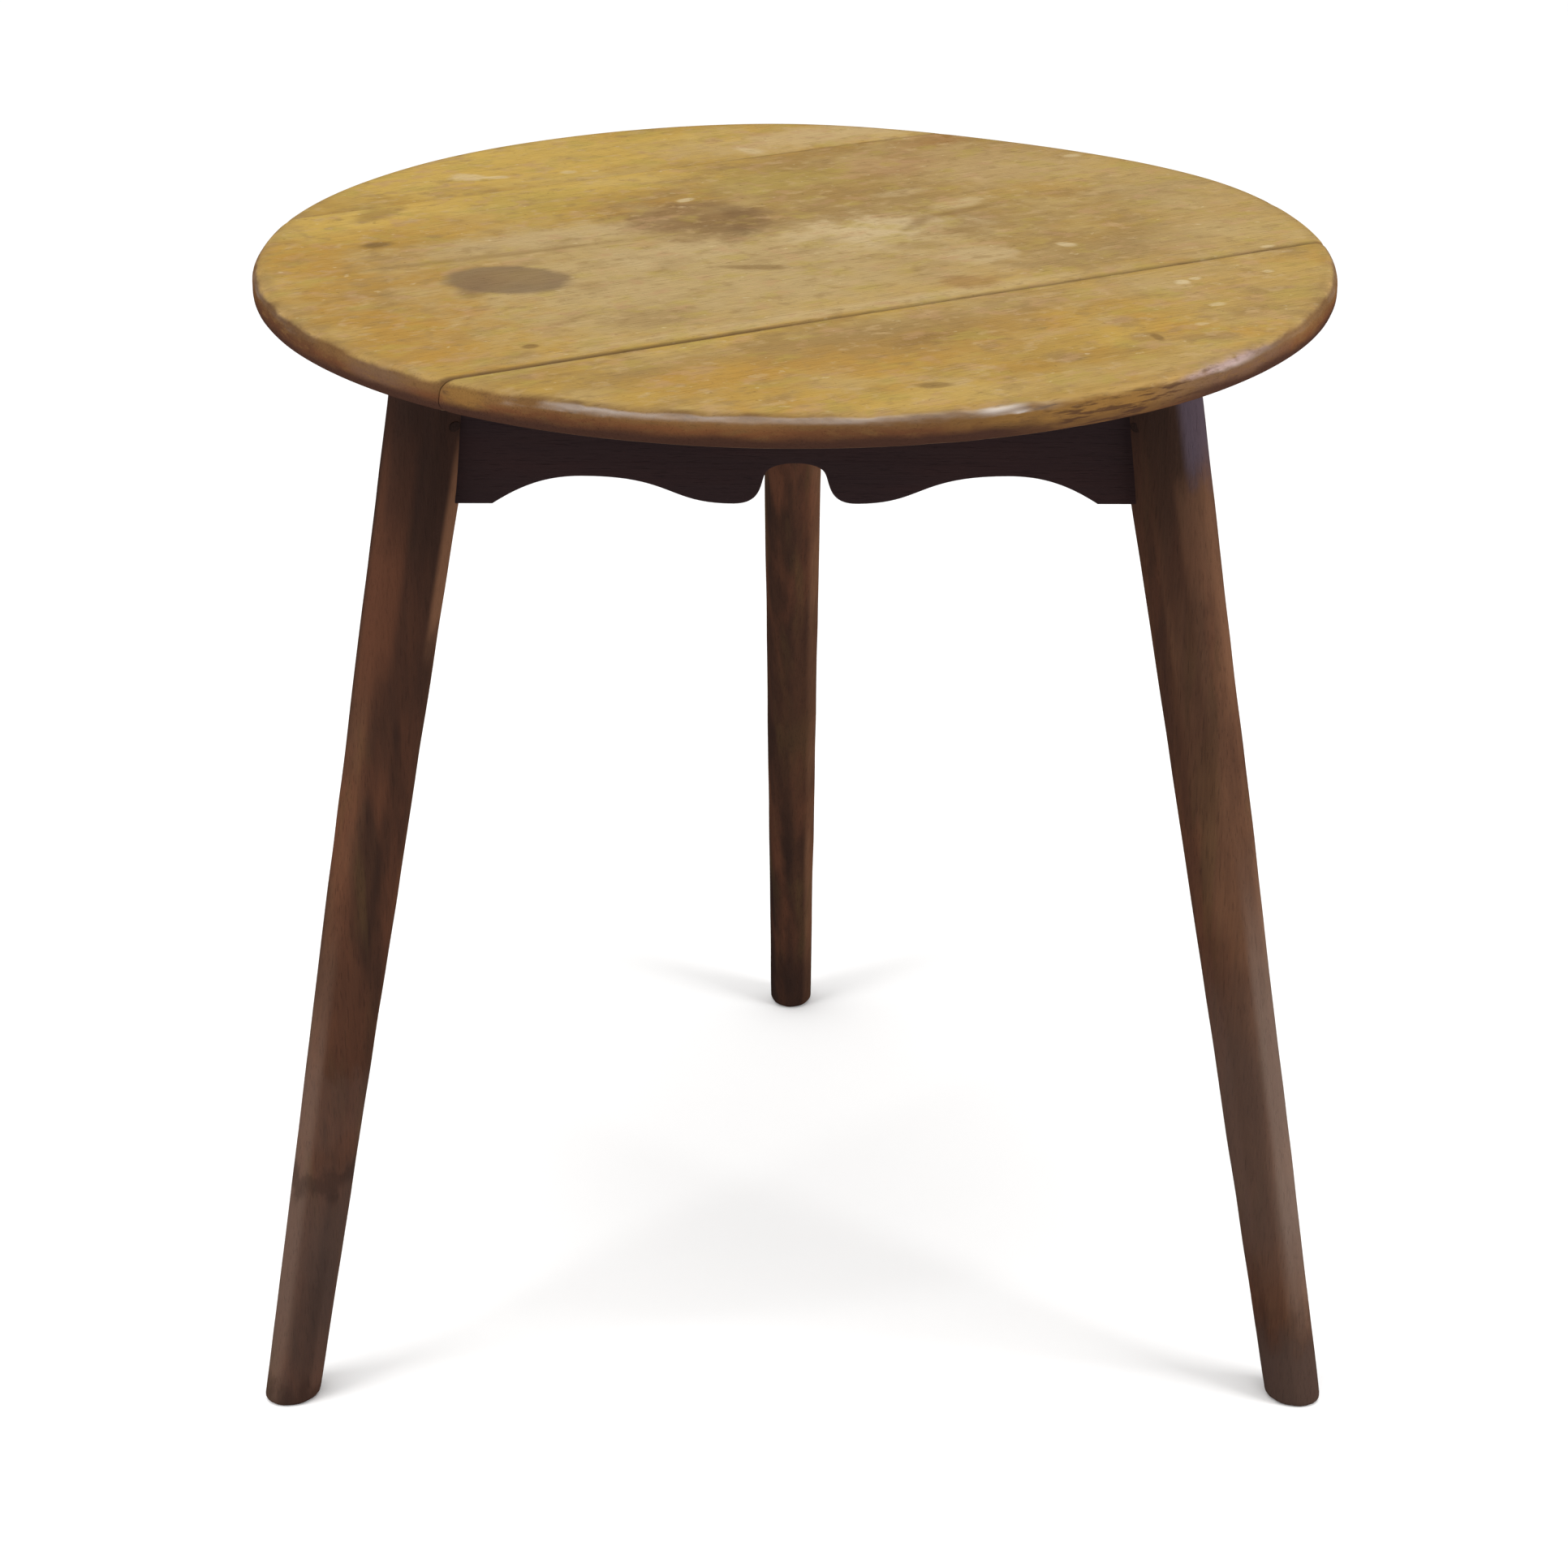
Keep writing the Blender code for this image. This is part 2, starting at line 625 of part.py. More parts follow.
def main():
    for old in list(bpy.data.objects):
        bpy.data.objects.remove(old, do_unlink=True)
    axis = bpy.data.objects.new("table_axis", None)
    axis.location = (0, AXIS_Y, 0)
    bpy.context.scene.collection.objects.link(axis)

    screw_holes = make_screw_holes()
    leg_room = make_leg_room()
    peg_holes = {side: make_peg_holes(side) for side in APRON_ANGLES}
    mortises = {side: make_mortises(side) for side in APRON_ANGLES}
    make_boards(make_dowels(), screw_holes)
    make_legs(mortises, peg_holes)
    make_aprons(leg_room, peg_holes)
    make_pegs(leg_room)
    make_blocks(screw_holes)
    make_screws()


main()
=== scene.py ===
# %% [markdown]
# # A cricket table, finished piece by piece
# The imported solids come first, as a fixed frame with the table's sizes and joints. This lesson
# adds what a camera sees: finer shapes, aged timber, soft light and a floor. The finished pieces
# stand where the frame's pieces stand, and their wear, stains and colours are set one by one.

# %% Load the frame
import math

import bmesh
import bpy
from mathutils import Matrix, Vector, noise
from mathutils.geometry import interpolate_bezier


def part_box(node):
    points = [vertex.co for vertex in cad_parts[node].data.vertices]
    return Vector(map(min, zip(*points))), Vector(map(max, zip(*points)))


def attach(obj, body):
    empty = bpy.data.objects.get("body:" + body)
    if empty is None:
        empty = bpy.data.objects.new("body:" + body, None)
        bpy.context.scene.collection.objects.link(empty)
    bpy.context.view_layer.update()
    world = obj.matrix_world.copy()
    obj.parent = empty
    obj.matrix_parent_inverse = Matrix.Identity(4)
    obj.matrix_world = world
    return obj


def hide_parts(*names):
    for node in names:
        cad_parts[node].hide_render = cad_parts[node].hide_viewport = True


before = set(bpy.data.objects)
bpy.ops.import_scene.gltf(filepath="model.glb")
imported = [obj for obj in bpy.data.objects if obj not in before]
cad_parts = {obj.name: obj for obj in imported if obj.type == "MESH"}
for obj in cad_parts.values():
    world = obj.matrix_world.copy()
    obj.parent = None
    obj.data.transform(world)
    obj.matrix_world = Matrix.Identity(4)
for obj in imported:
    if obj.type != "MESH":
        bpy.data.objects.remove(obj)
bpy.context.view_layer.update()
scene = bpy.context.scene
print("nodes in the frame:", len(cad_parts))

# %% [markdown]
# ## Sizes of the frame
# The three boards give the round top's radius, both its faces and the table's axis, which lies a
# little in front of the origin. Reading them from the frame is safer than typing them again.
# The frame gives no more than a box for a leg or an apron, so their sizes are repeated below.

# %% Measure the frame
BOARDS = ("front", "middle", "back")
board_boxes = [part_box(f"top_board_{name}") for name in BOARDS]
TOP_RADIUS = max(high.x for low, high in board_boxes)
UNDERSIDE = min(low.z for low, high in board_boxes)
TABLE_HEIGHT = max(high.z for low, high in board_boxes)
TOP_MIDDLE = (UNDERSIDE + TABLE_HEIGHT) / 2
AXIS = Vector((0.0, min(low.y for low, high in board_boxes) + TOP_RADIUS, 0.0))
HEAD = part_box("leg_back")[1].z
print(f"top {TOP_RADIUS * 2000:.0f} mm across, {TABLE_HEIGHT * 1000:.1f} mm high")

# %% [markdown]
# ## Camera
# A photograph of a known round top fixes its camera: the rim's oval gives the tilt, and the feet
# give the distance. The camera stands a little over two metres away at shoulder height and looks
# down by 24 degrees. Its three directions are set as a matrix, so no angle has to be guessed.

# %% Set up the camera
EYE = Vector((-0.0087, -2.2094, 1.3120))
AHEAD = Vector((0.00109, 0.91456, -0.40444)).normalized()
ABOVE = Vector((-0.00127, 0.40444, 0.91456))
LENS = 83.84
SENSOR = 36.0

camera_data = bpy.data.cameras.new("photo_camera")
camera_data.lens = LENS
camera_data.sensor_width = SENSOR
camera = bpy.data.objects.new("photo_camera", camera_data)
across = AHEAD.cross(ABOVE).normalized()
turn = Matrix((across, across.cross(AHEAD), -AHEAD)).transposed().to_4x4()
camera.matrix_world = Matrix.Translation(EYE) @ turn
scene.collection.objects.link(camera)
scene.camera = camera
print(f"camera looks down by {math.degrees(math.asin(-AHEAD.z)):.1f} degrees")

# %% [markdown]
# ## Floor and light
# The table stands on a pale floor in a white studio. A sun with a very wide disc acts as one
# large soft light overhead, and it lights the far floor as brightly as the near floor, which a
# lamp at a real distance would not. Two tall panels at the sides put a soft band of light on
# the outer faces of the legs, and leave the faces towards the camera darker. The sun leans a
# little to the camera's side, so the rounded rim mirrors it as a thin bright line.

# %% Make the floor and the lights
FLOOR_RADIUS = 30.0
FLOOR_STEPS = 96
SUN_POWER = 2.9
SUN_WIDTH = math.radians(75)
SUN_PLACE = (-0.3, -0.5, 3.0)
SUN_AIM = (0, 0, 0.4)
WARM_WHITE = (1.0, 0.99, 0.98)
PANEL_WIDTH = 1.0
PANEL_HEIGHT = 1.6
LEG_MIDDLE = (0, 0, 0.45)
AMBIENT = 0.22
PANELS = {  # power (W) and place
    "left_panel": (46.0, (-2.0, -1.2, 0.8)),
    "right_panel": (60.0, (2.1, -1.0, 0.8)),
}

bm = bmesh.new()
bmesh.ops.create_circle(bm, cap_ends=True, segments=FLOOR_STEPS, radius=FLOOR_RADIUS)
floor_mesh = bpy.data.meshes.new("studio_floor")
bm.to_mesh(floor_mesh)
bm.free()
floor = bpy.data.objects.new("studio_floor", floor_mesh)
scene.collection.objects.link(floor)


def add_light(name, kind, energy, place, aim, colour=(1.0, 1.0, 1.0)):
    """A light that stands at a place and points at aim."""
    data = bpy.data.lights.new(name, kind)
    data.energy = energy
    data.color = colour
    light = bpy.data.objects.new(name, data)
    light.location = place
    light.rotation_euler = (Vector(aim) - Vector(place)).to_track_quat("-Z", "Y").to_euler()
    scene.collection.objects.link(light)
    return data


overhead = add_light("overhead", "SUN", SUN_POWER, SUN_PLACE, SUN_AIM, WARM_WHITE)
overhead.angle = SUN_WIDTH
for name, (power, place) in PANELS.items():
    panel = add_light(name, "AREA", power, place, LEG_MIDDLE)
    panel.shape = "RECTANGLE"
    panel.size = PANEL_WIDTH
    panel.size_y = PANEL_HEIGHT
studio = bpy.data.worlds.new("studio")
studio.use_nodes = True
studio.node_tree.nodes["Background"].inputs["Color"].default_value = (1.0, 1.0, 1.0, 1.0)
studio.node_tree.nodes["Background"].inputs["Strength"].default_value = AMBIENT
scene.world = studio
scene.view_settings.view_transform = "Standard"
print("lights:", [light.name for light in bpy.data.lights])

# %% [markdown]
# ## From a bmesh to a piece
# Every new piece ends the same way. Its own coordinates, with X along the grain, are kept as an
# attribute before it is moved to its place, because the grain of a leaning leg has to lean with
# it. The piece then stands for its solid and rides on the table's one body.

# %% Helpers for shaping
SMOOTH_ANGLE = math.radians(40.0)
SLIVER = 0.00002  # edges shorter than this are left-overs of cuts
ROUND = {"profile": 0.5, "affect": "EDGES", "material": -1, "clamp_overlap": True}


def wander(point, size):
    """Smooth noise from -1 to 1, with hills about one size apart."""
    return noise.noise(Vector(point) / size)


def uneven(point, size):
    """A factor that wavers round 1, by a half at most."""
    return 1.0 + 0.5 * wander(point, size)


def cut(bm, point, direction, clear=False):
    """Cuts right through a bmesh; with clear, what lies on the side of direction goes."""
    everything = list(bm.verts) + list(bm.edges) + list(bm.faces)
    bmesh.ops.bisect_plane(
        bm, geom=everything, plane_co=point, plane_no=direction, clear_outer=clear
    )


def mark_arris(bm, rounded):
    """Notes the points inside a rounded edge, so that a finish can be worn there."""
    layer = bm.verts.layers.float["arris"]
    faces = set(rounded["faces"])
    for vert in {vert for face in faces for vert in face.verts}:
        if all(face in faces for face in vert.link_faces):
            vert[layer] = 1.0


def set_piece(bm, name, place, grain=Matrix(), shift=(0, 0, 0)):
    """Turns a bmesh into the piece that stands for the solid of the same name."""
    timber = bm.verts.layers.float_vector.new("timber")
    for vert in bm.verts:
        vert[timber] = grain @ vert.co + Vector(shift)
    bmesh.ops.transform(bm, matrix=place, verts=bm.verts)
    bmesh.ops.dissolve_degenerate(bm, dist=SLIVER, edges=bm.edges)
    bmesh.ops.recalc_face_normals(bm, faces=bm.faces)
    mesh = bpy.data.meshes.new(name)
    bm.to_mesh(mesh)
    bm.free()
    mesh.shade_smooth()
    mesh.set_sharp_from_angle(angle=SMOOTH_ANGLE)
    piece = bpy.data.objects.new(f"{name}_finished", mesh)
    scene.collection.objects.link(piece)
    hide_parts(name)
    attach(piece, "root")
    print(piece.name, len(mesh.polygons), "faces")
    return piece


# %% [markdown]
# ## The round top
# The top was sawn round by hand and its edge taken over with a plane, softer above than below.
# A lathe-like spin would do, but a circle that is extruded and rounded keeps the flat stretch of
# the rim, and a grid of cuts gives even faces without a pole in the middle. The wear is then
# pressed in by moving points: shallow hollows, a wavering rim, a nosing that hands and knees have
# rubbed down, and a few chips.

# %% Shape the whole top
GRAIN_ANGLE = math.radians(28.8)
RIM_STEPS = 288
GRID = 0.032
GRID_LINES = 10  # to each side of the middle
UPPER_EDGE_ROUND = 0.008
UPPER_EDGE_STEPS = 9
LOWER_EDGE_ROUND = 0.006
LOWER_EDGE_STEPS = 6
RIM_WEAR_DEPTH = 0.0135
RIM_WEAR_BEARING = math.radians(61.0)
RIM_WEAR_SPREAD = math.radians(36.0)


def rim_radius(bearing):
    """Radius of the top in plan: round, with one stretch worn flatter."""
    off = math.remainder(bearing - RIM_WEAR_BEARING, math.tau)
    if abs(off) >= RIM_WEAR_SPREAD:
        return TOP_RADIUS
    return TOP_RADIUS - RIM_WEAR_DEPTH * math.cos(off / RIM_WEAR_SPREAD * math.pi / 2) ** 2


def table_bearing(point):
    return (math.atan2(point.y, point.x) + GRAIN_ANGLE) % math.tau


top = bmesh.new()
top.verts.layers.float.new("arris")
top.verts.layers.float_vector.new("rim")
bmesh.ops.create_circle(top, cap_ends=True, segments=RIM_STEPS, radius=TOP_RADIUS)
for vert in top.verts:
    vert.co *= rim_radius(table_bearing(vert.co)) / TOP_RADIUS
bmesh.ops.translate(top, vec=(0, 0, UNDERSIDE), verts=top.verts)
lower_rim = list(top.edges)
made = bmesh.ops.extrude_face_region(top, geom=list(top.faces), use_keep_orig=True)
upper = {item for item in made["geom"] if isinstance(item, bmesh.types.BMVert)}
bmesh.ops.translate(top, vec=(0, 0, TABLE_HEIGHT - UNDERSIDE), verts=list(upper))
upper_rim = [edge for edge in top.edges if upper.issuperset(edge.verts)]
bmesh.ops.recalc_face_normals(top, faces=top.faces)
bmesh.ops.bevel(top, geom=upper_rim, offset=UPPER_EDGE_ROUND, segments=UPPER_EDGE_STEPS, **ROUND)
bmesh.ops.bevel(top, geom=lower_rim, offset=LOWER_EDGE_ROUND, segments=LOWER_EDGE_STEPS, **ROUND)
for step in range(-GRID_LINES, GRID_LINES + 1):
    cut(top, (GRID * step, 0, 0), (1, 0, 0))
    cut(top, (0, GRID * step, 0), (0, 1, 0))
print("whole top:", len(top.faces), "faces")

# %% Wear the top
HOLLOWS = 0.0003
HOLLOW_SIZE = 0.11
HOLLOW_SINK = 0.6  # keeps all but the highest hills below the flat face
FACE_DEPTH = 0.001  # points this near the upper face belong to it
RIM_WAVER = 0.0006
RIM_WAVER_SIZE = 0.06
RUB_SIZE = 0.012
HUB = 0.1  # inside this radius nothing moves outwards
NOSING_REACH = 0.016
NOSING_DROP = 0.0016
RUBBED_FROM = math.radians(281.0)
RUBBED_TO = math.radians(308.0)
CHIPS = (  # bearing in degrees, half width and depth in metres, and side of the rim
    (283.0, 0.0055, 0.0022, "lower"),
    (251.0, 0.0040, 0.0009, "upper"),
    (262.5, 0.0030, 0.0007, "upper"),
    (288.5, 0.0045, 0.0010, "lower"),
    (293.0, 0.0060, 0.0012, "upper"),
    (297.5, 0.0040, 0.0009, "lower"),
    (301.0, 0.0050, 0.0010, "upper"),
    (318.0, 0.0050, 0.0010, "upper"),
    (128.0, 0.0050, 0.0015, "lower"),
    (20.0, 0.0060, 0.0012, "upper"),
)


def rubbed(bearing):
    """How far the nosing is rubbed down at a bearing, from 0 to 1."""
    share = (bearing - RUBBED_FROM) / (RUBBED_TO - RUBBED_FROM)
    return math.sin(share * math.pi) if 0.0 < share < 1.0 else 0.0


for vert in top.verts:
    bearing = table_bearing(vert.co)
    radius = vert.co.to_2d().length
    if vert.co.z > TABLE_HEIGHT - FACE_DEPTH:
        vert.co.z += HOLLOWS * (wander(vert.co, HOLLOW_SIZE) - HOLLOW_SINK)
    near_rim = max(0.0, 1.0 - (rim_radius(bearing) - radius) / NOSING_REACH)
    pull = RIM_WAVER * near_rim * wander(vert.co, RIM_WAVER_SIZE)
    if vert.co.z > TOP_MIDDLE:
        rub = rubbed(bearing) * uneven(vert.co, RUB_SIZE)
        vert.co.z -= NOSING_DROP * rub * near_rim**2
        pull -= 0.5 * NOSING_DROP * rub * near_rim
    for chip_bearing, half_width, depth, side in CHIPS:
        if (vert.co.z > TOP_MIDDLE) == (side == "upper"):
            off = math.remainder(bearing - math.radians(chip_bearing), math.tau) * radius
            pull -= depth * near_rim**3 * math.exp(-((off / half_width) ** 2))
    if radius > HUB:
        vert.co.xy *= 1.0 + pull / radius
print("worn top reaches", round(max(vert.co.to_2d().length for vert in top.verts), 4), "m")

# %% [markdown]
# ## Three boards
# The disc is parted into three boards along two joints. Cutting loops beside each joint first
# gives edges that can be lowered, so the joint has soft worn arrises whose depth wavers. Below
# the arris the joint faces nearly touch, as boards do that were dowelled and have shrunk apart.

# %% Sizes of the board joints
FRONT_JOINT = -0.1376
BACK_JOINT = 0.2130
JOINT_GAPS = {FRONT_JOINT: 0.0006, BACK_JOINT: 0.0002}
JOINT_CLOSED = 0.0001
ARRIS_LOOPS = (0.008, 0.005, 0.003, 0.0018, 0.0009, 0.0004)
ARRIS_REACH = 0.0035
ARRIS_WAVER_SIZE = 0.03
ARRIS_DROP = {FRONT_JOINT: 0.0011, BACK_JOINT: 0.0001}
JOINT_DIRT = {FRONT_JOINT: 1.0, BACK_JOINT: 0.55}
TIGHT_END = {FRONT_JOINT: 0.80, BACK_JOINT: 0.35}  # share of the dirt left at the tight end
OPENS = {FRONT_JOINT: -1, BACK_JOINT: 1}  # the end along the grain where the joint lies open
OPENING_RUN = 0.2  # length over which a joint opens
DIRT_REACH = 0.0062
CORNER_REACH = 0.007
CORNER_WEAR = 0.0010
CORNER_LENGTH = 0.02
JOINT_LIP = 0.0035
RIM_START = math.atan2(FRONT_JOINT, math.sqrt(TOP_RADIUS**2 - FRONT_JOINT**2))
grain_place = Matrix.Translation(AXIS) @ Matrix.Rotation(GRAIN_ANGLE, 4, "Z")
print(f"joints {FRONT_JOINT * 1000:.1f} and {BACK_JOINT * 1000:.1f} mm from the middle")

# %% Saw the boards apart


def ease_joint(bm, joint, edge, side):
    """Wears the arrises and the outer corners beside one joint, and notes where dirt lies."""
    dirt = bm.verts.layers.float["arris"]
    for vert in bm.verts:
        off = (edge - vert.co.y) * side
        open_share = min(1.0, max(TIGHT_END[joint], 0.5 + OPENS[joint] * vert.co.x / OPENING_RUN))
        vert[dirt] = max(vert[dirt], JOINT_DIRT[joint] * open_share * (1.0 - off / DIRT_REACH))
        if off < ARRIS_REACH:
            drop = ARRIS_DROP[joint] * (1.0 - off / ARRIS_REACH) ** 2
            drop *= uneven(vert.co, ARRIS_WAVER_SIZE)
            vert.co.z += -drop if vert.co.z > TOP_MIDDLE else 0.5 * drop
        end = math.sqrt(TOP_RADIUS**2 - joint**2)
        if off < CORNER_REACH and abs(vert.co.x) > end - CORNER_LENGTH:
            worn = CORNER_WEAR * (1.0 - off / CORNER_REACH) ** 2
            vert.co.x -= math.copysign(worn, vert.co.x) * (1.0 if vert.co.z > TOP_MIDDLE else 0.5)


def saw(bm, joint, side):
    """Saws a board off at a joint: side is the direction, +Y or -Y, of what goes."""
    edge = joint - side * JOINT_GAPS[joint] / 2
    for off in ARRIS_LOOPS:
        cut(bm, (0, edge - side * off, 0), (0, side, 0))
    cut(bm, (0, edge, 0), (0, side, 0), clear=True)
    open_edges = [item for item in bm.edges if item.is_boundary]
    joint_face = bmesh.ops.contextual_create(bm, geom=open_edges)["faces"]
    ease_joint(bm, joint, edge, side)
    bmesh.ops.inset_region(bm, faces=joint_face, thickness=JOINT_LIP)
    closer = side * (JOINT_GAPS[joint] - JOINT_CLOSED) / 2
    bmesh.ops.translate(bm, vec=(0, closer, 0), verts=joint_face[0].verts)


def measure_rim(bm):
    """Keeps each point's way round the rim from the front joint, its height and its depth in."""
    rim = bm.verts.layers.float_vector["rim"]
    for vert in bm.verts:
        way = (math.atan2(vert.co.y, vert.co.x) - RIM_START) % math.tau
        inward = rim_radius(table_bearing(vert.co)) - vert.co.to_2d().length
        vert[rim] = (way * TOP_RADIUS, vert.co.z - TABLE_HEIGHT, inward)


SAWN = {
    "front": ((FRONT_JOINT, 1),),
    "middle": ((FRONT_JOINT, -1), (BACK_JOINT, 1)),
    "back": ((BACK_JOINT, -1),),
}
boards = {}
for name, cuts in SAWN.items():
    bm = top.copy()
    for joint, side in cuts:
        saw(bm, joint, side)
    measure_rim(bm)
    boards[name] = set_piece(bm, f"top_board_{name}", grain_place)
top.free()

# %% [markdown]
# ## Legs
# Each leg was a square billet whose corners were planed off to eight sides and then softened.
# Seen against the light, the flats still show as bands of different brightness. Two eight-sided
# rings, bridged and with their long edges rounded, follow that making. Loops along the length
# let the faces waver by a fraction of a millimetre, as a drawknife leaves them.

# %% Sizes of the legs
HEAD_CIRCLE_RADIUS = 0.240
LEG_SPLAY = 0.132
LEG_HEAD = (0.0550, 0.0444)
LEG_FOOT = (0.0367, 0.0312)
LEG_SIDES = 8
FLAT_BEARING = math.radians(18.0)  # middle of a flat, from the leg's outward direction
CORNER_OUT = 1.052  # corners of the eight sides, past the oval they round down to
LEG_ARRIS = 0.0050
ARRIS_STEPS = 6
FOOT_ROUND = 0.0045
FOOT_STEPS = 5
FOOT_DEPTH = 0.001  # points this near the floor belong to the foot
LEG_LOOPS = 70
LEG_WAVER = 0.00035
LEG_WAVER_SIZE = 0.035
LEG_BEND = 0.0004
LEG_BEND_SIZE = 0.12
LONG_EDGE = 0.1  # edges that rise by more run along the leg
LEG_BEARINGS = {"left": 210.0, "right": 330.0, "back": 90.0}
LEG_SHIFT = 1.7  # along the grain from leg to leg, so that each shows other wood
UPRIGHT = Matrix.Rotation(math.radians(90), 4, "Y")  # grain along the leg


def leg_axis_radius(z):
    """Distance of a leg's axis from the table's axis at height z."""
    return HEAD_CIRCLE_RADIUS + LEG_SPLAY * (UNDERSIDE - z) / UNDERSIDE


def leg_half_section(z):
    """Half the leg's depth and width at height z."""
    share = z / UNDERSIDE
    return tuple((foot + (head - foot) * share) / 2 for head, foot in zip(LEG_HEAD, LEG_FOOT))


print(f"feet {leg_axis_radius(0) * 1000:.0f} mm from the table's axis")

# %% Shape the legs


def long_edges(bm):
    """Edges that run along the leg."""
    return [edge for edge in bm.edges if abs(edge.verts[0].co.z - edge.verts[1].co.z) > LONG_EDGE]


def make_leg(name, seed):
    bm = bmesh.new()
    bm.verts.layers.float.new("arris")
    facing = bm.verts.layers.float_vector.new("facing")
    rings = []
    for z in (0.0, HEAD):
        depth, width = (CORNER_OUT * size for size in leg_half_section(z))
        section = Matrix.Translation((leg_axis_radius(z), 0, z))
        section @= Matrix.Diagonal((depth, width, 1, 1))
        section @= Matrix.Rotation(FLAT_BEARING + math.pi / LEG_SIDES, 4, "Z")
        made = bmesh.ops.create_circle(
            bm, cap_ends=True, segments=LEG_SIDES, radius=1.0, matrix=section
        )
        rings += {edge for vert in made["verts"] for edge in vert.link_edges}
    bmesh.ops.bridge_loops(bm, edges=rings)
    bmesh.ops.recalc_face_normals(bm, faces=bm.faces)
    corners = long_edges(bm)
    rounded = bmesh.ops.bevel(bm, geom=corners, offset=LEG_ARRIS, segments=ARRIS_STEPS, **ROUND)
    mark_arris(bm, rounded)
    foot_rim = [edge for edge in bm.edges if all(vert.co.z < FOOT_DEPTH for vert in edge.verts)]
    bmesh.ops.bevel(bm, geom=foot_rim, offset=FOOT_ROUND, segments=FOOT_STEPS, **ROUND)
    bmesh.ops.subdivide_edges(bm, edges=long_edges(bm), cuts=LEG_LOOPS, use_grid_fill=True)
    for vert in bm.verts:
        out = vert.co - Vector((leg_axis_radius(vert.co.z), 0, vert.co.z))
        vert[facing] = out.normalized()
        if 0.0 < vert.co.z < HEAD:
            waver = LEG_WAVER * wander(vert.co + Vector((0, 0, seed)), LEG_WAVER_SIZE)
            waver += LEG_BEND * wander(vert.co + Vector((0, seed, 0)), LEG_BEND_SIZE)
            vert.co += out.normalized() * waver
    place = Matrix.Translation(AXIS) @ Matrix.Rotation(math.radians(LEG_BEARINGS[name]), 4, "Z")
    return set_piece(bm, f"leg_{name}", place, UPRIGHT, (seed, 0, 0))


legs = {name: make_leg(name, LEG_SHIFT * number) for number, name in enumerate(LEG_BEARINGS)}

# %% [markdown]
# ## Aprons
# An apron is a board on edge between two legs, its lower edge bow-sawn to a notch between two
# lobes and two long arches. Curves give half of that edge, and the outline is pushed through
# the board's thickness. The outer face runs a little way into the leg, whose solid has the real
# joint, and the inner face stops at the mitre where it meets the next apron. Small cuts across
# the faces let them waver as planed wood does.

# %% Sizes of the aprons
APRON_HEIGHT = 0.098
APRON_HALF = 0.011
APRON_FOOT = HEAD - APRON_HEIGHT
APRON_ARRIS = 0.0011
APRON_ARRIS_STEPS = 3
APRON_WAVER = 0.0003
APRON_WAVER_SIZE = 0.07
APRON_GRID_ALONG = 0.02
APRON_GRID_UP = 0.016
APRON_GRID_SHIFT = 0.003  # moves the cuts off the middle point of the edge
APRON_LINES = 9  # to each side of the middle
APRON_ROWS = 5
EDGE_ZONE = 0.03  # the shaped edge lies within this height
PAD_LENGTH = 0.020  # flat edge beside the leg
MITRE_GAP = 0.0006
LET_IN = 0.008  # past the leg's flank
CURVE_STEPS = 20
APRON_BEARINGS = {"front": 270.0, "right": 30.0, "left": 150.0}
APRON_SHIFT = 2.3  # along the grain from apron to apron
FIRST_APRON_SHIFT = 0.9
SKEW = math.radians(30.0)  # from an apron's length to the leg's outward direction
CORNER_RADIUS = leg_axis_radius(HEAD - APRON_HEIGHT / 2)
CORNER = CORNER_RADIUS * math.cos(SKEW)  # apron's middle to the leg's middle
APRON_DISTANCE = CORNER_RADIUS * math.sin(SKEW)
MITRE = CORNER - APRON_HALF / math.tan(SKEW) - MITRE_GAP


def shoulder_reach(z):
    """Distance from the apron's middle to the leg's flank at height z."""
    depth, width = leg_half_section(z)
    inward = (CORNER_RADIUS - leg_axis_radius(z)) * math.cos(SKEW)
    return CORNER - inward - math.hypot(depth * math.cos(SKEW), width * math.sin(SKEW))


PAD = shoulder_reach(APRON_FOOT) - PAD_LENGTH
EDGE_CURVES = (  # (along, up) of each curve's start, its two handles and its end
    ((0.0, 0.0252), (0.0089, 0.0252), (0.01587, 0.02299), (0.0178, 0.0187)),
    ((0.0178, 0.0187), (0.02075, 0.01216), (0.01967, 0.0), (0.0365, 0.0)),
    ((0.0365, 0.0), (PAD - 0.1032, 0.0), (PAD - 0.1075, 0.0172), (PAD - 0.053, 0.0172)),
    ((PAD - 0.053, 0.0172), (PAD - 0.0307, 0.0172), (PAD - 0.0159, 0.01032), (PAD, 0.0)),
)
END_ZONE = PAD + 0.001  # points further out belong to the ends
print(f"apron edge shaped over {2 * PAD * 1000:.0f} mm")

# %% Shape the aprons


def lower_edge():
    """Half of the apron's lower edge, from its middle to its pad."""
    points = [Vector(EDGE_CURVES[0][0])]
    for curve in EDGE_CURVES:
        points += interpolate_bezier(*(Vector(point) for point in curve), CURVE_STEPS + 1)[1:]
    return points


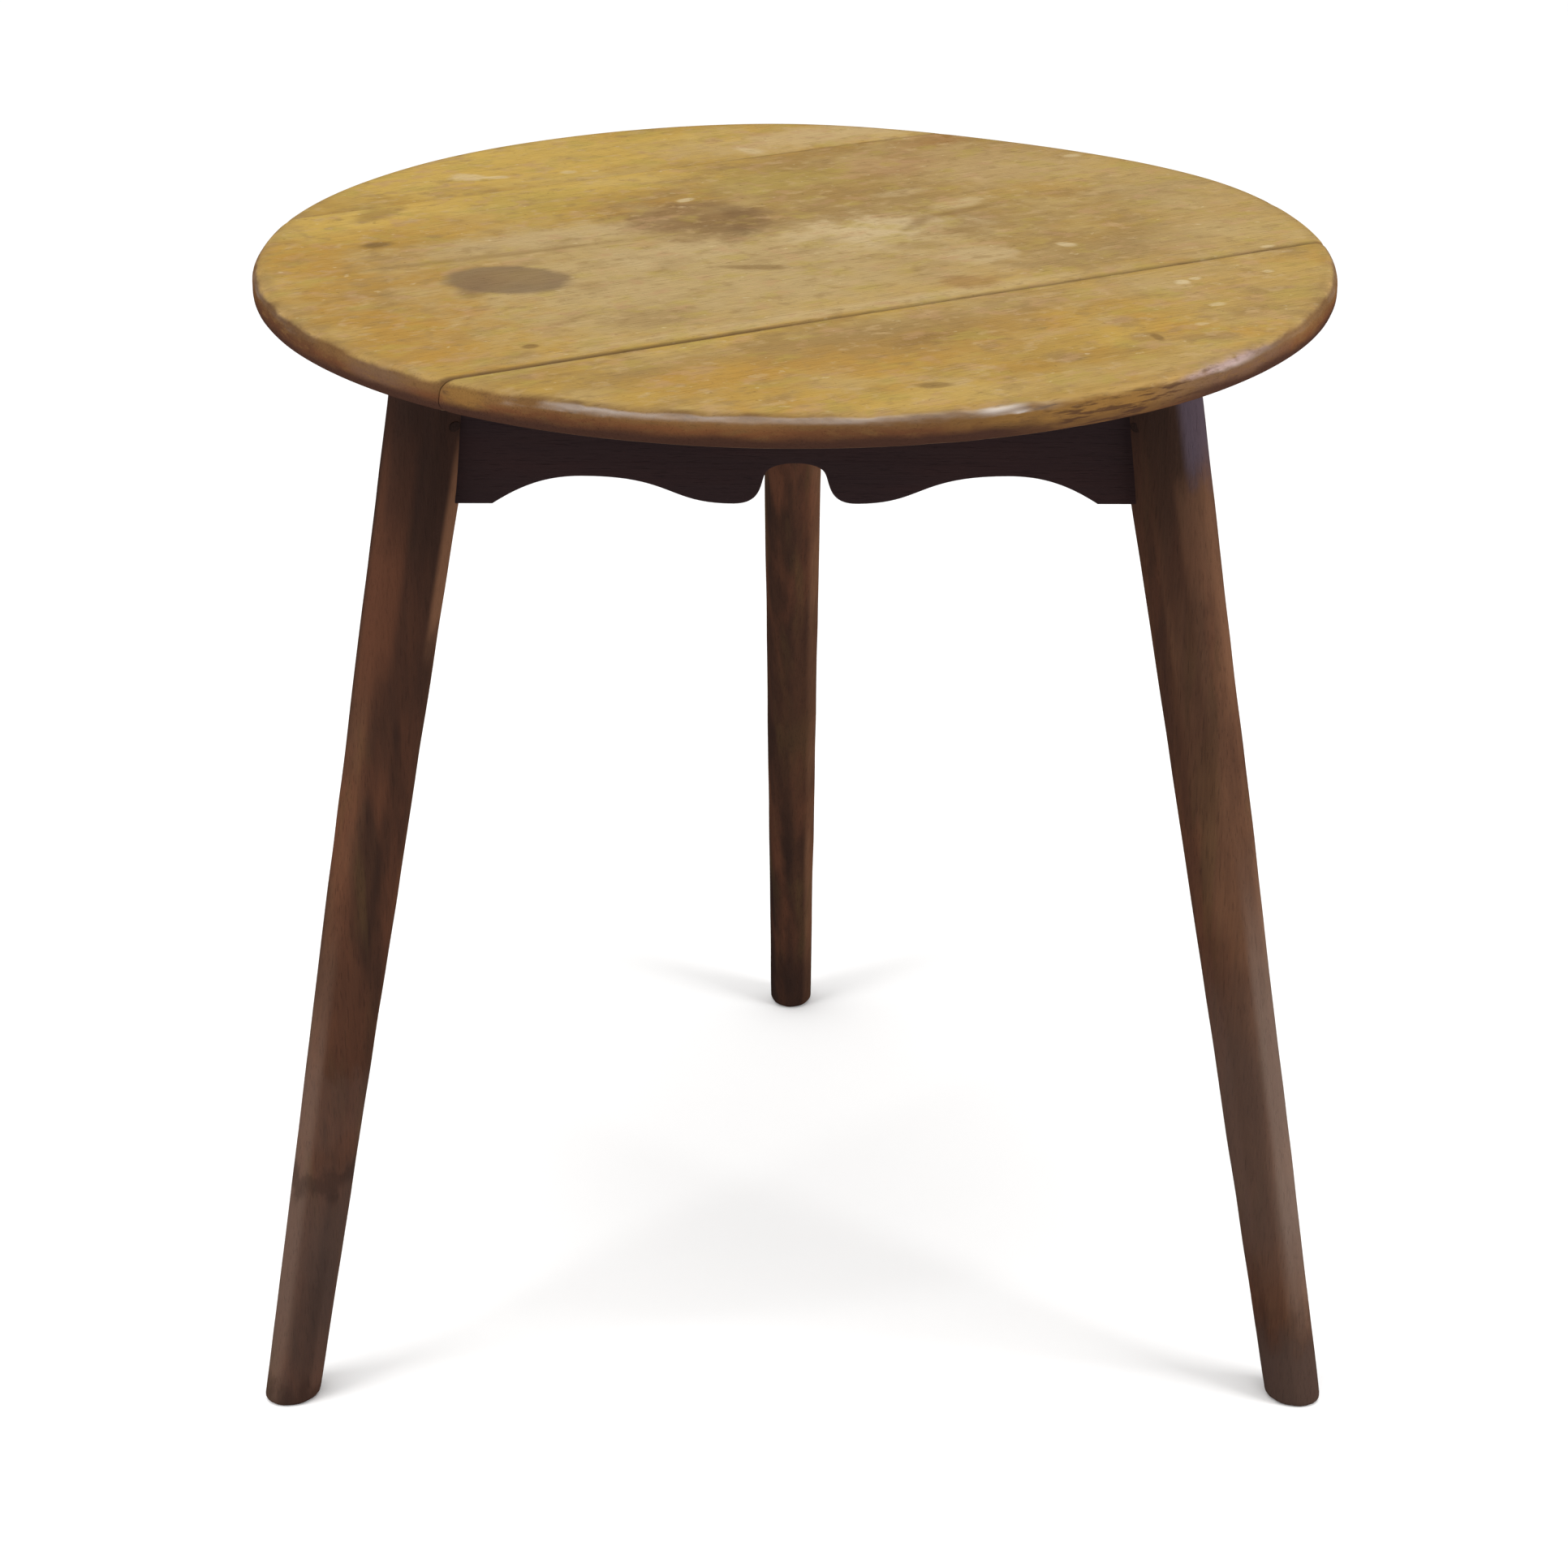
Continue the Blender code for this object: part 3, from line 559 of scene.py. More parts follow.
def make_apron(name, seed):
    bm = bmesh.new()
    bm.verts.layers.float.new("arris")
    half = lower_edge()
    lower = [(-along, up) for along, up in reversed(half[1:])] + [tuple(point) for point in half]
    outline = [(-CORNER, 0.0), *lower, (CORNER, 0.0)]
    outline += [(CORNER, APRON_HEIGHT), (-CORNER, APRON_HEIGHT)]
    back = [bm.verts.new((x, -APRON_HALF, APRON_FOOT + z)) for x, z in outline]
    made = bmesh.ops.extrude_face_region(bm, geom=[bm.faces.new(back)], use_keep_orig=True)
    face = [item for item in made["geom"] if isinstance(item, bmesh.types.BMVert)]
    bmesh.ops.translate(bm, vec=(0, 2 * APRON_HALF, 0), verts=face)
    for vert in bm.verts:
        if abs(vert.co.x) > END_ZONE:
            reach = shoulder_reach(vert.co.z) + LET_IN
            reach = reach if vert.co.y > 0 else min(reach, MITRE)
            vert.co.x = math.copysign(reach, vert.co.x)
    bmesh.ops.recalc_face_normals(bm, faces=bm.faces)
    below = APRON_FOOT + EDGE_ZONE
    arrises = [
        edge
        for edge in bm.edges
        if all(vert.co.z < below for vert in edge.verts)
        and edge.verts[0].co.y * edge.verts[1].co.y > 0
    ]
    rounded = bmesh.ops.bevel(
        bm, geom=arrises, offset=APRON_ARRIS, segments=APRON_ARRIS_STEPS, **ROUND
    )
    mark_arris(bm, rounded)
    for step in range(-APRON_LINES, APRON_LINES + 1):
        cut(bm, (APRON_GRID_ALONG * step + APRON_GRID_SHIFT, 0, 0), (1, 0, 0))
    for step in range(1, APRON_ROWS + 1):
        cut(bm, (0, 0, APRON_FOOT + APRON_GRID_UP * step + APRON_GRID_SHIFT), (0, 0, 1))
    for vert in bm.verts:
        if abs(vert.co.x) < PAD:
            vert.co.y += APRON_WAVER * wander(vert.co + Vector((seed, 0, 0)), APRON_WAVER_SIZE)
    turn = Matrix.Rotation(math.radians(APRON_BEARINGS[name] - 90.0), 4, "Z")
    place = Matrix.Translation(AXIS) @ turn @ Matrix.Translation((0, APRON_DISTANCE, 0))
    return set_piece(bm, f"apron_{name}", place, shift=(seed, 0, 0))


aprons = {
    name: make_apron(name, APRON_SHIFT * number + FIRST_APRON_SHIFT)
    for number, name in enumerate(APRON_BEARINGS)
}

# %% [markdown]
# ## Tools for the finishes
# A finish is a tree of shader nodes. The few helpers here add a node, link or set its sockets,
# and name the steps a finisher would: grade a value, lay one colour over another, read noise.
# They keep each finish short enough to read as a recipe.

# %% Helpers for shader nodes
FULL_SHARE = 0.3  # of a mask's reach, inside which it is full


def feed(tree, node, inputs):
    """Links an input that is another node's socket, and sets any other."""
    for key, value in inputs.items():
        if isinstance(value, bpy.types.NodeSocket):
            tree.links.new(value, node.inputs[key])
        else:
            node.inputs[key].default_value = value


def put(tree, kind, inputs, **settings):
    """Adds a node with its settings and inputs."""
    node = tree.nodes.new("ShaderNode" + kind)
    for key, value in settings.items():
        setattr(node, key, value)
    feed(tree, node, inputs)
    return node


def grade(tree, value, low, high, start=0.0, end=1.0):
    """Eases a value from start to end while it goes from low to high."""
    inputs = {"Value": value, "From Min": low, "From Max": high, "To Min": start, "To Max": end}
    return put(tree, "MapRange", inputs, interpolation_type="SMOOTHSTEP").outputs["Result"]


def sums(tree, how, first, second):
    return put(tree, "Math", {0: first, 1: second}, operation=how).outputs[0]


def times(tree, first, second):
    return sums(tree, "MULTIPLY", first, second)


def move(tree, how, first, second):
    return put(tree, "VectorMath", {0: first, 1: second}, operation=how).outputs["Vector"]


def stretch(tree, vector, scales):
    return move(tree, "MULTIPLY", vector, scales)


def read(tree, name, output="Vector"):
    """Reads an attribute of the piece."""
    return put(tree, "Attribute", {}, attribute_name=name).outputs[output]


def table_place(tree):
    """Where a point lies on the table, since every piece's origin is the table's own."""
    return put(tree, "TexCoord", {}).outputs["Object"]


def split(tree, vector):
    """X, Y and Z of a vector."""
    return put(tree, "SeparateXYZ", {"Vector": vector}).outputs


def near(tree, value, middle, reach, strength):
    """A soft mask for values within reach of a middle."""
    off = sums(tree, "ABSOLUTE", sums(tree, "SUBTRACT", value, middle), 0.0)
    return grade(tree, off, reach, FULL_SHARE * reach, 0.0, strength)


def lay(tree, amount, under, over, how="MIX"):
    """Lays one colour over another."""
    sockets = {0: amount, 6: under, 7: over}
    return put(tree, "Mix", sockets, data_type="RGBA", blend_type=how).outputs[2]


def cloud(tree, vector, scale, detail=2.0, rough=0.5, output="Fac"):
    """Noise over the surface."""
    inputs = {"Vector": vector, "Scale": scale, "Detail": detail, "Roughness": rough}
    return put(tree, "TexNoise", inputs).outputs[output]


def paint(red, green, blue):
    return (red, green, blue, 1.0)


# %% Helpers for node groups


def new_group(name, inputs, outputs):
    """A shader node group; returns it with the sockets to read from and to feed."""
    group = bpy.data.node_groups.new(name, "ShaderNodeTree")
    for label, kind, value in inputs:
        socket = group.interface.new_socket(label, in_out="INPUT", socket_type="NodeSocket" + kind)
        socket.default_value = value
    for label in outputs:
        group.interface.new_socket(label, in_out="OUTPUT", socket_type="NodeSocketFloat")
    given = group.nodes.new("NodeGroupInput").outputs
    result = group.nodes.new("NodeGroupOutput").inputs
    return group, given, result


def use(tree, group, inputs):
    """Places a group in a tree and returns its outputs."""
    node = tree.nodes.new("ShaderNodeGroup")
    node.node_tree = group
    feed(tree, node, inputs)
    return node.outputs


# %% [markdown]
# ## Grain
# Timber shows three things along its length: broad bands of the growth rings, fine streaks, and
# short pores. Each is noise stretched along X. One slow noise pushes all of them sideways
# first, so that the lines wander together as they do round a buried knot.

# %% Build the grain group
# Noise cells per metre along and across, detail, roughness, where the mask starts and is full
GRAIN_LAYERS = {
    "Bands": ((1.6, 85.0, 85.0), 3.0, 0.55, 0.28, 0.72),
    "Streaks": ((15.0, 480.0, 480.0), 3.0, 0.6, 0.30, 0.70),
    "Pores": ((75.0, 1150.0, 1150.0), 1.0, 0.5, 0.60, 0.74),
}
grain_group, given, result = new_group(
    "timber_grain",
    [("Vector", "Vector", (0, 0, 0)), ("Wander", "Float", 0.012)],
    list(GRAIN_LAYERS),
)
tree = grain_group
slow = cloud(tree, stretch(tree, given["Vector"], (2.4, 9.0, 9.0)), 1.0, 1.0)
aside = times(tree, sums(tree, "SUBTRACT", slow, 0.5), given["Wander"])
push = put(tree, "CombineXYZ", {"Y": aside, "Z": aside}).outputs[0]
bent = move(tree, "ADD", given["Vector"], push)
for output, (cells, detail, roughness, low, high) in GRAIN_LAYERS.items():
    layer = cloud(tree, stretch(tree, bent, cells), 1.0, detail, roughness)
    tree.links.new(grade(tree, layer, low, high), result[output])
print("grain group:", len(tree.nodes), "nodes")

# %% [markdown]
# ## Patina
# Age shows at several sizes at once: clouds as wide as a hand where polish has gone, a mottle
# as wide as a finger, and specks. All are plain noise, since dirt hardly follows the grain, and
# only the mottle is drawn out a little along it.

# %% Build the patina group
patina_group, given, result = new_group(
    "patina", [("Vector", "Vector", (0, 0, 0))], ["Clouds", "Mottle", "Specks"]
)
tree = patina_group
clouds = cloud(tree, given["Vector"], 9.0, 3.0, 0.55)
tree.links.new(grade(tree, clouds, 0.32, 0.68), result["Clouds"])
dabs = cloud(tree, stretch(tree, given["Vector"], (0.6, 1.0, 1.0)), 60.0, 4.0, 0.6)
tree.links.new(grade(tree, dabs, 0.30, 0.70), result["Mottle"])
specks = cloud(tree, given["Vector"], 260.0, 1.0)
tree.links.new(grade(tree, specks, 0.72, 0.79), result["Specks"])
print("patina group:", len(tree.nodes), "nodes")

# %% [markdown]
# ## One stain or scar
# A tea ring, a bruise and a bleached patch all have a middle, a size, a slant and a more or
# less ragged border. One group makes that mask: it moves the surface to the mark's middle,
# turns and shrinks it to a unit circle, roughens it with a shared noise and eases its border.

# %% Build the stain group
stain_group, given, result = new_group(
    "stain_or_scar",
    [
        ("Vector", "Vector", (0, 0, 0)),
        ("Jitter", "Vector", (0, 0, 0)),
        ("Middle", "Vector", (0, 0, 0)),
        ("Size", "Vector", (1, 1, 1)),
        ("Slant", "Float", 0.0),
        ("Ragged", "Float", 0.3),
        ("Soft", "Float", 0.4),
    ],
    ["Mask"],
)
tree = stain_group
centred = move(tree, "SUBTRACT", given["Vector"], given["Middle"])
turned = put(tree, "VectorRotate", {"Vector": centred, "Angle": given["Slant"]}).outputs[0]
unit = move(tree, "DIVIDE", turned, given["Size"])
rough = put(tree, "VectorMath", {0: given["Jitter"], "Scale": given["Ragged"]}, operation="SCALE")
border = move(tree, "ADD", unit, rough.outputs["Vector"])
distance = put(tree, "VectorMath", {0: border}, operation="LENGTH").outputs["Value"]
inner = sums(tree, "SUBTRACT", 1.0, given["Soft"])
outer = sums(tree, "ADD", 1.0, given["Soft"])
tree.links.new(grade(tree, distance, outer, inner), result["Mask"])
print("stain group:", len(tree.nodes), "nodes")

# %% [markdown]
# ## The top's finish
# The boards are honey-coloured under old wax, bleached grey where they are scrubbed and brown
# where spills went in. A base of honey and gold with faint growth bands comes first, then the
# stains of that board one over another with mottle between them, then streaks and pores, and
# last the rim and the bare underside. Each board has its own list of marks, measured from the
# middle of the top along and across the grain.

# %% Colours and marks of the boards
GOLD = paint(0.455, 0.297, 0.076)
SUNNY = paint(0.545, 0.375, 0.100)
HONEY = paint(0.318, 0.196, 0.057)
AMBER = paint(0.375, 0.210, 0.050)
STRAW = paint(0.410, 0.292, 0.122)
BLEACHED = paint(0.400, 0.292, 0.140)
PALEST = paint(0.505, 0.388, 0.218)
TAN = paint(0.440, 0.305, 0.150)
OLIVE = paint(0.360, 0.268, 0.070)
ROSY = paint(0.400, 0.245, 0.125)
BROWN = paint(0.268, 0.174, 0.072)
UMBER = paint(0.165, 0.095, 0.036)
PLUM = paint(0.200, 0.118, 0.058)
RUST = paint(0.260, 0.132, 0.048)
GREY = paint(0.180, 0.124, 0.074)
BRUISE = paint(0.085, 0.047, 0.025)
FLECK = paint(0.560, 0.445, 0.260)

# Along and across the grain, half length, half width (mm), slant (degrees), ragged, soft,
# strength and colour
WASHES = {  # broad stains, under the mottle
    "front": (
        (-20, -168, 170, 22, 0, 0.6, 0.5, 0.60, BROWN),
        (-100, -215, 90, 32, 0, 0.6, 0.5, 0.40, AMBER),
        (110, -190, 110, 40, 0, 0.6, 0.5, 0.35, AMBER),
        (200, -200, 70, 50, 0, 0.6, 0.5, 0.40, STRAW),
        (40, -300, 120, 16, 0, 0.6, 0.5, 0.45, STRAW),
    ),
    "middle": (
        (-255, 20, 60, 140, 0, 0.5, 0.6, 0.60, AMBER),
        (0, 190, 90, 30, 0, 0.5, 0.5, 0.55, GOLD),
        (-30, 0, 190, 85, 0, 0.6, 0.45, 0.85, BLEACHED),
        (-140, 92, 95, 28, 0, 0.6, 0.5, 0.70, BLEACHED),
        (-150, -65, 80, 50, 0, 0.7, 0.5, 0.45, BLEACHED),
        (70, 12, 60, 42, 0, 0.9, 0.5, 0.65, PALEST),
        (-70, 30, 50, 26, 0, 0.9, 0.5, 0.40, PALEST),
        (135, 135, 150, 82, -8, 0.6, 0.4, 0.72, BROWN),
        (195, 10, 105, 42, 0, 0.7, 0.45, 0.60, BROWN),
        (165, -85, 70, 44, 0, 0.7, 0.5, 0.70, BROWN),
        (215, 100, 60, 40, 0, 0.8, 0.5, 0.45, STRAW),
        (150, 150, 38, 22, 0, 0.8, 0.5, 0.45, RUST),
        (215, 198, 36, 16, -10, 0.7, 0.5, 0.50, RUST),
        (-22, 85, 50, 48, 20, 0.7, 0.35, 0.65, PLUM),
        (-140, -90, 30, 24, 0, 0.9, 0.5, 0.55, BROWN),
    ),
    "back": (
        (60, 255, 30, 25, 20, 0.8, 0.5, 0.50, BROWN),
        (140, 240, 80, 24, 0, 0.7, 0.5, 0.60, STRAW),
    ),
}
LATE_WASHES = {  # worn and bleached places, over the broad mottle
    "front": (
        (110, -160, 130, 20, 0, 0.7, 0.6, 0.28, BLEACHED),
        (152, -168, 14, 22, 0, 0.9, 0.5, 0.40, BLEACHED),
        (-150, -205, 52, 26, 0, 0.8, 0.5, 0.40, AMBER),
        (-60, -210, 100, 34, 0, 0.8, 0.6, 0.55, AMBER),
        (-30, -190, 80, 28, 0, 0.9, 0.6, 0.50, BROWN),
        (-100, -172, 105, 14, 0, 0.8, 0.5, 0.35, BROWN),
        (-24, -200, 26, 9, 0, 0.9, 0.5, 0.35, UMBER),
    ),
    "middle": (
        (-175, 205, 110, 50, 0, 0.7, 0.6, 0.50, SUNNY),
        (-20, 200, 60, 18, 0, 0.7, 0.6, 0.40, SUNNY),
        (-80, 0, 100, 80, 0, 0.8, 0.5, 0.35, BLEACHED),
        (-110, -85, 110, 40, 0, 0.8, 0.5, 0.40, BLEACHED),
        (30, -100, 120, 40, 0, 0.8, 0.6, 0.50, BLEACHED),
        (240, -100, 60, 40, 0, 0.8, 0.6, 0.45, BLEACHED),
        (285, -10, 50, 120, 0, 0.6, 0.6, 0.50, BLEACHED),
        (-50, -126, 190, 7, 0, 0.4, 0.6, 0.40, PALEST),
        (62, 22, 52, 20, 0, 1.0, 0.5, 0.35, PALEST),
        (-115, 100, 65, 20, 0, 0.7, 0.5, 0.28, PALEST),
        (70, 20, 25, 22, 0, 1.0, 0.35, 0.50, PALEST),
        (94, -64, 26, 18, 0, 1.0, 0.4, 0.45, PALEST),
        (150, 46, 22, 8, -10, 0.9, 0.5, 0.45, PALEST),
        (125, 86, 20, 7, 0, 0.9, 0.5, 0.40, PALEST),
        (215, 130, 62, 60, 0, 0.9, 0.5, 0.42, TAN),
        (212, 195, 32, 15, -10, 0.8, 0.5, 0.35, RUST),
        (-140, -88, 26, 18, 0, 0.9, 0.5, 0.45, BROWN),
        (90, 66, 62, 16, -6, 0.8, 0.5, 0.45, BROWN),
        (150, -100, 42, 22, 0, 0.8, 0.5, 0.42, BROWN),
        (-18, 95, 46, 38, 10, 0.5, 0.3, 0.45, PLUM),
        (-180, 150, 50, 25, 0, 0.8, 0.5, 0.40, AMBER),
        (-272, -55, 32, 48, 0, 0.8, 0.5, 0.45, AMBER),
        (75, 152, 52, 26, 0, 0.8, 0.5, 0.45, OLIVE),
        (-90, 175, 40, 32, 0, 0.8, 0.5, 0.40, OLIVE),
        (146, 153, 28, 24, 0, 0.8, 0.5, 0.45, ROSY),
    ),
    "back": (
        (-80, 275, 170, 60, 0, 0.7, 0.6, 0.55, SUNNY),
        (180, 245, 65, 26, 0, 0.7, 0.6, 0.40, SUNNY),
        (150, 245, 90, 26, 0, 0.7, 0.6, 0.60, TAN),
        (180, 245, 65, 26, 0, 0.7, 0.6, 0.34, PALEST),
    ),
}
MARKS = {  # small marks, over everything
    "front": (
        (-65, -275, 11, 5, 20, 0.6, 0.4, 0.60, UMBER),
        (92, -258, 3, 7, 15, 0.5, 0.4, 0.65, UMBER),
        (168, -172, 5, 4, 0, 0.9, 0.4, 0.70, FLECK),
        (180, -170, 4, 3, 0, 0.9, 0.4, 0.60, FLECK),
        (227, -178, 4, 3, 0, 0.9, 0.4, 0.50, FLECK),
        (160, -220, 6, 3, 0, 0.9, 0.4, 0.50, FLECK),
        (130, -250, 5, 3, 0, 0.9, 0.4, 0.45, FLECK),
    ),
    "middle": (
        (-14, 66, 24, 26, 0, 1.0, 0.7, 0.32, UMBER),
        (-166, 75, 90, 4.0, 4, 0.4, 0.7, 0.36, UMBER),
        (-39, -23, 20, 5, 28, 0.4, 0.5, 0.55, UMBER),
        (94, 14, 17, 4.5, -38, 0.5, 0.7, 0.42, UMBER),
        (134, 29, 32, 4.5, -9, 0.5, 0.7, 0.38, UMBER),
        (-192, 197, 18, 9, -25, 0.7, 0.6, 0.48, UMBER),
        (-228, -105, 5, 4, 0, 0.6, 0.3, 0.60, UMBER),
        (-6, 54, 8, 14, -8, 0.9, 0.8, 0.38, BRUISE),
        (10, 92, 12, 16, -15, 1.0, 0.8, 0.25, BRUISE),
        (-208, 16, 9, 20, 30, 0.50, 0.60, 0.30, BRUISE),
        (-221, 132, 9, 6, 0, 0.6, 0.5, 0.55, BRUISE),
        (-183, 23, 38, 29, 40, 0.14, 0.14, 0.80, GREY),
        (-172, 26, 22, 16, 40, 0.60, 0.60, 0.30, BROWN),
        (74, -28, 20, 9, 20, 0.9, 0.5, 0.50, BROWN),
        (-200, 24, 15, 22, 40, 0.50, 0.50, 0.30, PLUM),
        (58, -112, 18, 14, 0, 0.9, 0.5, 0.50, RUST),
        (-5, 137, 6, 4, -20, 0.9, 0.4, 0.65, FLECK),
        (277, 115, 6, 4, 0, 0.9, 0.4, 0.55, FLECK),
        (152, -70, 6, 5, 30, 0.9, 0.4, 0.65, FLECK),
        (260, -132, 5, 3, 0, 0.9, 0.4, 0.55, FLECK),
    ),
    "back": (
        (-105, 255, 12, 9, 30, 0.9, 0.4, 0.55, FLECK),
        (-88, 247, 10, 4, 20, 0.9, 0.4, 0.55, FLECK),
        (-40, 237, 6, 4, 40, 0.9, 0.4, 0.45, FLECK),
        (92, 232, 6, 11, -30, 0.9, 0.5, 0.45, FLECK),
    ),
}
TABLES = (WASHES, LATE_WASHES, MARKS)
print("stains and marks:", {name: sum(len(table[name]) for table in TABLES) for name in BOARDS})

# %% Lay stains and mottle
# Scale, where the mask starts and is full, strength and colour
BROAD_MOTTLE = ((24.0, 0.46, 0.70, 0.70, STRAW), (38.0, 0.48, 0.72, 0.70, BROWN))
FINE_MOTTLE = (
    (47.0, 0.52, 0.68, 0.50, OLIVE),
    (61.0, 0.54, 0.68, 0.50, ROSY),
    (78.0, 0.54, 0.70, 0.50, BROWN),
    (95.0, 0.55, 0.70, 0.50, TAN),
    (150.0, 0.64, 0.74, 0.45, FLECK),
)
RAGGED_SCALE = 2.0  # brings the noise of a border from a half to 1
THROUGH = 1e6  # third size of a mark, which then goes right through the wood


def lay_marks(tree, colour, vector, marks):
    """Lays marks over a colour, one after another."""
    noise_colour = cloud(tree, vector, 55.0, 3.0, 0.6, "Color")
    jitter = move(tree, "SUBTRACT", noise_colour, (0.5, 0.5, 0.5))
    for along, out, length, width, slant, ragged, soft, strength, shade in marks:
        mask = use(
            tree,
            stain_group,
            {
                "Vector": vector,
                "Jitter": jitter,
                "Middle": (along / 1000, out / 1000, 0.0),
                "Size": (length / 1000, width / 1000, THROUGH),
                "Slant": math.radians(slant),
                "Ragged": ragged * RAGGED_SCALE,
                "Soft": soft,
            },
        )["Mask"]
        colour = lay(tree, times(tree, mask, strength), colour, shade)
    return colour


def blotches(tree, vector, scale, low, high, strength):
    """A mask of ragged blotches, a little longer along the grain than across it."""
    stretched = stretch(tree, vector, (0.75, 1.0, 1.0))
    return grade(tree, cloud(tree, stretched, scale, 4.0, 0.55), low, high, 0.0, strength)


def mottle(tree, colour, vector, layers):
    """Lays blotches over a colour, one layer after another."""
    for scale, low, high, strength, shade in layers:
        colour = lay(tree, blotches(tree, vector, scale, low, high, strength), colour, shade)
    return colour


def weathered(tree, vector, bands):
    """Honey and gold in soft clouds, with amber washes and a little of the growth bands."""
    colour = lay(tree, blotches(tree, vector, 11.0, 0.34, 0.66, 0.80), HONEY, GOLD)
    colour = lay(tree, grade(tree, bands, 0.0, 1.0, 0.0, 0.28), colour, GOLD)
    return lay(tree, blotches(tree, vector, 17.0, 0.48, 0.66, 0.70), colour, AMBER)


# %% [markdown]
# ## The rim's finish
# The rim is red-brown above and nearly black below, with a paler, rubbed stretch at the front
# right. A stain drawn in plan would smear down so steep a face, so the boards keep each point's
# way round the rim and its height, and the rim's marks are placed by bearing and height. A coat
# on the nosing gives its thin bright line, stronger where hands have polished it. One pale lilac
# mark on the nosing at the right is a painted highlight.

# %% Colours and marks of the rim
RIM_AMBER = paint(0.152, 0.080, 0.029)
RIM_RED = paint(0.104, 0.042, 0.017)
RIM_DARK = paint(0.034, 0.016, 0.011)
RIM_WORN = paint(0.152, 0.080, 0.023)
RIM_PLUM = paint(0.088, 0.054, 0.036)
RIM_PAINTED_HIGHLIGHT = paint(0.330, 0.235, 0.215)
RIM_BROWN = paint(0.105, 0.055, 0.021)
# Bearing (degrees), height from the upper face, half length, half height (mm), then as above
RIM_MARKS = (
    (299.5, -7, 80, 11, 0, 0.35, 0.30, 0.90, RIM_WORN),
    (236.5, -7, 14, 10, 0, 0.35, 0.45, 0.75, RIM_WORN),
    (318.0, -7, 60, 10, 0, 0.35, 0.45, 0.60, RIM_PLUM),
    (200.0, -6, 80, 12, 0, 0.35, 0.45, 0.60, RIM_DARK),
    (225.0, -7, 26, 9, 0, 0.40, 0.50, 0.55, RIM_PLUM),
    (281.0, -8, 60, 6, 0, 0.40, 0.60, 0.30, RIM_DARK),
    # A painted highlight: a pale lilac line high on the nosing at the right
    (316.5, -2, 38, 3, 0, 0.40, 0.50, 0.70, RIM_PAINTED_HIGHLIGHT),
)
WORN_ARRIS = (303.0, 0.090, 1.0)  # bearing (degrees), half length (m) and strength
RIM_STARTS = (  # bearing (degrees), half length (m) and how much lower the dark rim begins (m)
    (306.0, 0.085, 0.0014),
    (317.0, 0.050, -0.0016),
    (258.0, 0.130, -0.0011),
)
POLISHED = (  # bearing (degrees), half length (m) and gloss gained or lost
    (290.0, 0.019, 0.55),
    (318.0, 0.050, 0.06),
    (270.0, 0.110, 0.06),
    (250.0, 0.030, 0.12),
    (306.0, 0.074, -0.40),
    (229.0, 0.120, -0.28),
)
# Heights from the upper face (m) between which a colour or the gloss fades
RED_FADE = (-0.0035, -0.0095)
BOTTOM_FADE = (-0.0085, -0.0145)
RIM_FADE = (-0.0002, -0.0034)
NOSING_UPPER = (-0.0008, -0.0022)
NOSING_LOWER = (-0.0062, -0.0038)
print("marks on the rim:", len(RIM_MARKS))

# %% Finish the rim


def rim_way(bearing):
    """Way round the rim, in metres, from the front joint to a bearing in degrees."""
    return TOP_RADIUS * ((math.radians(bearing) - GRAIN_ANGLE - RIM_START) % math.tau)


def near_bearing(tree, way, bearing, length, strength):
    """A soft mask along the rim, length metres to each side of a bearing."""
    return near(tree, way, rim_way(bearing), length, strength)


def rim_finish(tree, rim, patina):
    """The rim's colour, from amber to nearly black, with its mask and the nosing's gloss."""
    way = split(tree, rim)
    waver = cloud(tree, stretch(tree, rim, (24.0, 90.0, 0.0)), 1.0, 3.0, 0.6)
    level = sums(tree, "ADD", way["Y"], grade(tree, waver, 0.25, 0.75, -0.0011, 0.0011))
    colour = lay(tree, grade(tree, level, *RED_FADE), RIM_AMBER, RIM_RED)
    colour = lay(tree, times(tree, patina["Clouds"], 0.35), colour, RIM_DARK)
    marks = [(1000 * rim_way(mark[0]), *mark[1:]) for mark in RIM_MARKS]
    colour = lay_marks(tree, colour, rim, marks)
    streaks = cloud(tree, stretch(tree, rim, (75.0, 260.0, 0.0)), 1.0, 5.0, 0.65)
    colour = lay(tree, grade(tree, streaks, 0.46, 0.70, 0.0, 0.75), colour, RIM_BROWN)
    colour = lay(tree, grade(tree, streaks, 0.60, 0.76, 0.0, 0.60), colour, RIM_DARK)
    lines = cloud(tree, stretch(tree, rim, (34.0, 330.0, 0.0)), 1.0, 3.0, 0.6)
    worn = near_bearing(tree, way["X"], *WORN_ARRIS)
    lines = times(tree, worn, grade(tree, lines, 0.50, 0.60, 0.0, 0.72))
    colour = lay(tree, lines, colour, RIM_DARK)
    bottom = grade(tree, level, *BOTTOM_FADE)
    bottom = times(tree, bottom, grade(tree, worn, 0.0, 1.0, 1.0, 0.55))
    colour = lay(tree, bottom, colour, RIM_DARK)
    outside = grade(tree, way["Z"], 0.010, 0.006)
    start = level
    for bearing, length, lower in RIM_STARTS:
        start = sums(tree, "ADD", start, near_bearing(tree, way["X"], bearing, length, lower))
    on_rim = times(tree, outside, grade(tree, start, *RIM_FADE))
    nosing = times(tree, outside, grade(tree, level, *NOSING_UPPER))
    nosing = times(tree, nosing, grade(tree, level, *NOSING_LOWER))
    polish = grade(tree, waver, 0.35, 0.60, 0.07, 0.22)
    for bearing, length, strength in POLISHED:
        polish = sums(tree, "ADD", polish, near_bearing(tree, way["X"], bearing, length, strength))
    gloss = times(tree, nosing, sums(tree, "MAXIMUM", polish, 0.0))
    return colour, on_rim, gloss


# %% Finish the boards
DIRT = paint(0.090, 0.050, 0.024)
BARE = paint(0.170, 0.108, 0.064)
BARE_DARK = paint(0.090, 0.055, 0.035)
